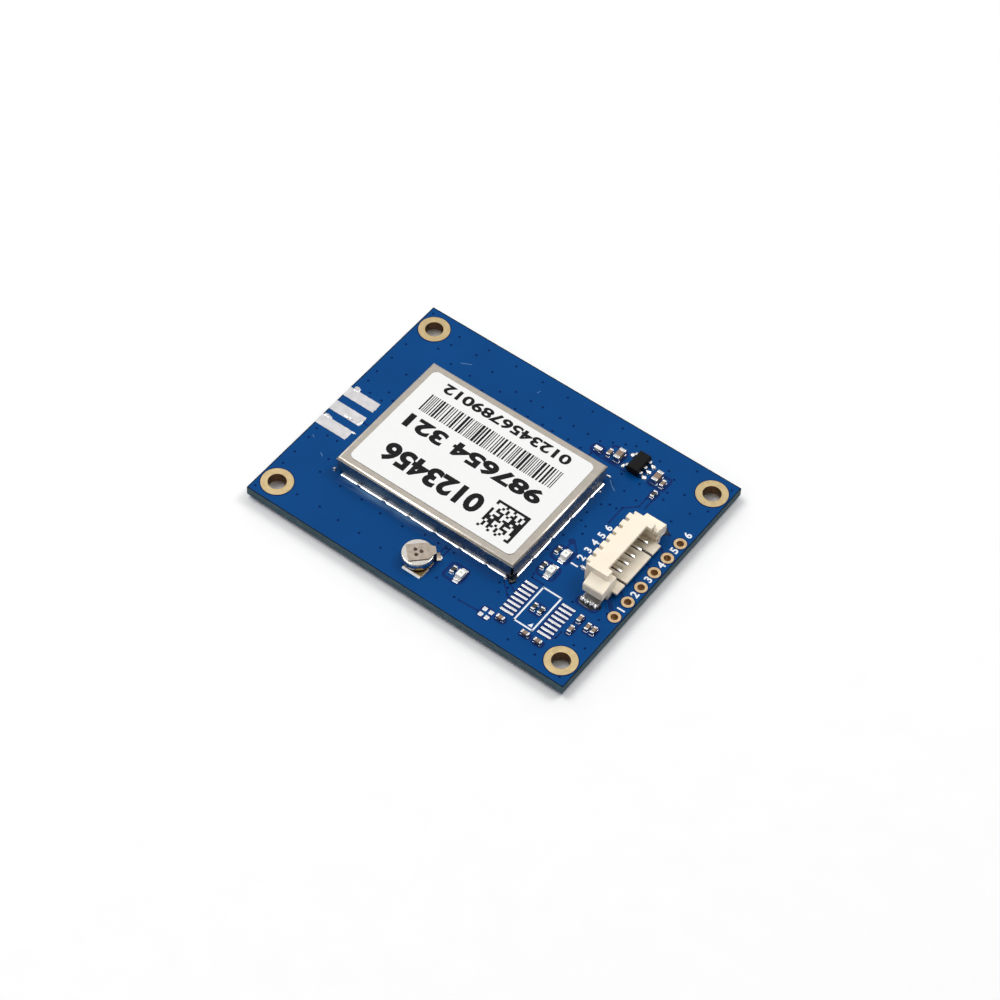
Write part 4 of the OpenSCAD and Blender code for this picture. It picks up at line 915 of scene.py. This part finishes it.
# %% Finish: milky resin, and the lights
resin = mottled("milky_cast_resin", "F4F5F0", "FDFDFA", 0.5, 2, Roughness=0.22, IOR=1.5)[0]
die = mottled("green_light_die", "B4C4B8", "D4DED6", 0.2, 2, Roughness=0.35, IOR=1.5)[0]
for i in (1, 2, 3):
    node = f"light_{i}"
    half, side_half, height, spot = along(node)
    bm = bmesh.new()
    block(bm, (-half, -side_half, 0.02), (half, side_half, 0.2), 0.03, 2, 0)
    lens = half * 0.64
    prism(bm, [(-lens, -side_half, 0.2), (lens, -side_half, 0.2), (lens - 0.12, -side_half, height),
               (-lens + 0.12, -side_half, height)], (0, 2 * side_half, 0), Matrix(), 0)
    disc(bm, 0.1, 0, height - 0.01, height + 0.006, 0.16, 0.14, 16, 3)
    for side in (-1, 1):
        a, b = sorted((side * (half + 0.02), side * (lens + 0.04)))
        block(bm, (a, -side_half - 0.01, 0.02), (b, side_half + 0.01, 0.23), 0.04, 2, 1)
        fillet(bm, side * half, side_half * 0.85, 0.24, 0.24, side, 2)
    bmesh.ops.transform(bm, matrix=spot, verts=bm.verts)
    make_piece(node + "_resin", bm, [resin, metal["tin_plated_contact"], metal["bright_solder"], die],
               [node])

# %% [markdown]
# ## Flux residue and scratches
# Hand soldering leaves a thin dried film of flux. Along the front of the can it is a pale
# hazy strip. It is a thin plate whose colour fades from the haze by the wall to the board's
# own blue, outwards and at both ends, so no edge shows. A few fine scratches in the lacquer
# are narrow pale strips.

# %% Finishes: flux film and scratched lacquer
flux, tree, shader, where = new_finish("dried_flux_film", Roughness=0.3, IOR=1.5, Specular_IOR_Level=0.15)
streak = add_node(tree, "Mapping", {"Vector": where, "Scale": (0.3, 1.6, 1)})
haze = add_node(tree, "TexNoise", {"Vector": streak.outputs[0], "Scale": per_mm(0.8), "Detail": 4})
spots = add_node(tree, "MapRange", {0: haze.outputs["Fac"], 1: 0.35, 2: 0.7})
place = add_node(tree, "SeparateXYZ", {0: where})
SMEAR_LOW, SMEAR_HIGH = (-14.8, can_low.y - 1.3), (8.2, can_low.y - 0.1)
FADES = (("Y", SMEAR_LOW[1], can_low.y - 0.4), ("X", 4, -8), ("X", SMEAR_LOW[0], -13))
amount = spots
for axis, none, full in FADES:
    fade = add_node(tree, "MapRange", {0: place.outputs[axis], 1: none * MM, 2: full * MM})
    amount = add_node(tree, "Math", {0: amount.outputs[0], 1: fade.outputs[0]}, operation="MULTIPLY")
tone = add_node(tree, "Mix", {0: amount.outputs[0], 6: srgb("004180"), 7: srgb("6690BA")}, data_type="RGBA")
tree.links.new(tone.outputs[2], shader.inputs["Base Color"])
scuff = mottled("scratched_lacquer", "2A62A0", "7FA8CC", 0.15, 2, Roughness=0.6, IOR=1.5)[0]

# %% Smear in front of the can, and scratches
bm = bmesh.new()
block(bm, (*SMEAR_LOW, FILM_LOW), (*SMEAR_HIGH, BOARD_TOP + 0.003))
make_piece("flux_smear", bm, [flux])
SCRATCHES = [[(9.6, 9.0), (10.1, 8.5), (10.9, 8.0)], [(-20.95, -6.75), (-20.6, -6.9)],
             [(-4.5, 14.2), (-4.35, 14.6)], [(-18.6, -8.2), (-18.1, -8.5)], [(-14.2, 12.3), (-13.0, 12.9)]]
bm = bmesh.new()
for line in SCRATCHES:
    ribbon(bm, line, 0.06, FILM_LOW, BOARD_TOP + 0.004)
make_piece("lacquer_scratches", bm, [scuff])

# %% [markdown]
# ## Parts under the can
# The receiver chip, its crystals and filters sit under the closed can. They are never seen,
# but the model carries them, so they get the finish of their kind. The cell's gasket, a thin
# line between its two shells, is dark too.

# %% Hidden parts
dress(compound, "receiver_chip", "input_amplifier", "cell_gasket")
dress(metal["stainless_steel"], "reference_oscillator", "clock_crystal", "band_filter")
print("hidden parts dressed")

# %% [markdown]
# ## Camera
# The camera stands where the photograph was taken: about a third of a metre away, 52 degrees
# up and 35 degrees round, with a long lens and a slight roll. The picture is 1000 pixels
# square, so a focal length in pixels turns into millimetres of a 36 mm sensor directly.

# %% Camera
AZIMUTH, ELEVATION, ROLL = (math.radians(a) for a in (34.607, 52.153, 2.875))
DISTANCE, FOCAL_PX, PICTURE_PX = 0.323824, 2861.933, 1000
back = Vector((math.sin(AZIMUTH) * math.cos(ELEVATION), -math.cos(AZIMUTH) * math.cos(ELEVATION),
               math.sin(ELEVATION)))
right = Vector((math.cos(AZIMUTH), math.sin(AZIMUTH), 0))
up = back.cross(right)
side = math.cos(ROLL) * right + math.sin(ROLL) * up
top = math.cos(ROLL) * up - math.sin(ROLL) * right
lens = bpy.data.cameras.new("camera")
lens.sensor_width = 36
lens.lens = FOCAL_PX / PICTURE_PX * lens.sensor_width
lens.shift_x, lens.shift_y = 0.005475, -0.005743
lens.clip_start, lens.clip_end = 0.01, 10
camera = bpy.data.objects.new("camera", lens)
turned = Matrix((side, top, back)).transposed().to_4x4()
camera.matrix_world = Matrix.Translation(back * DISTANCE) @ turned
bpy.context.scene.collection.objects.link(camera)
bpy.context.scene.camera = camera
print("lens:", round(lens.lens, 2), "mm")

# %% [markdown]
# ## Table and light
# The module lies on a white table that fills the picture and keeps its soft shadow. The
# light is that of a white tent open to the front: the sky is even and bright above and
# behind, and falls off towards the camera, so that front edges and walls stay dark. Two
# soft lamps high up at the left and behind at the right shorten the shadow and draw bright
# lines on folds and solder. Both stay clear of the mirror direction of flat tops. A wide dim
# panel in front is what the near folds of the can show.

# %% Table
TABLE_GAP = 0.5
table_white = mottled("white_table_card", "FAFAFA", "FEFEFE", 4, 2, Roughness=0.9, Specular_IOR_Level=0.0)[0]
bm = bmesh.new()
bmesh.ops.create_grid(bm, x_segments=8, y_segments=8, size=3000)
bmesh.ops.translate(bm, vec=(0, 0, -TABLE_GAP), verts=bm.verts)
bmesh.ops.scale(bm, vec=(MM, MM, MM), verts=bm.verts)
mesh = bpy.data.meshes.new("table")
bm.to_mesh(mesh)
bm.free()
mesh.materials.append(table_white)
table = bpy.data.objects.new("table", mesh)
bpy.context.scene.collection.objects.link(table)
table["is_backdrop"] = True

# %% Lamps and sky
LAMPS = {
    # name: (place in metres, size in metres, power in watts)
    "lamp_left": ((-0.25, -0.03, 0.5), 0.25, 1.0),
    "lamp_behind": ((0.2, 0.35, 0.5), 0.25, 1.14),
    "panel_front": ((-0.17, -0.5, 0.27), 0.45, 0.5),
}
for name, (place, size, power) in LAMPS.items():
    light = bpy.data.lights.new(name, "AREA")
    light.shape, light.size, light.energy = "SQUARE", size, power
    lamp = bpy.data.objects.new(name, light)
    lamp.location = place
    lamp.rotation_mode = "QUATERNION"
    lamp.rotation_quaternion = Vector(place).to_track_quat("Z", "Y")
    bpy.context.scene.collection.objects.link(lamp)
sky = bpy.data.worlds.new("white_tent")
sky.use_nodes = True
tree = sky.node_tree
towards = add_node(tree, "VectorMath", {0: add_node(tree, "TexCoord").outputs["Generated"],
                                        1: Vector((-0.3, 0.45, 0.84)).normalized()}, operation="DOT_PRODUCT")
level = add_node(tree, "MapRange", {0: towards.outputs["Value"], 1: 0.3, 2: 0.8, 3: 0.05, 4: 0.86})
tree.links.new(level.outputs[0], tree.nodes["Background"].inputs["Strength"])
tree.nodes["Background"].inputs["Color"].default_value = srgb("FFFFFF")
bpy.context.scene.world = sky
bpy.context.scene.view_settings.view_transform = "Standard"
print("lamps:", list(LAMPS))

# %% [markdown]
# ## Finish
# The box of the dressed model is printed at the end, as that of the CAD model was at the start.

# %% Sizes and the end
low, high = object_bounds()
print("visual box in mm:", [round(v / MM, 3) for v in high - low])
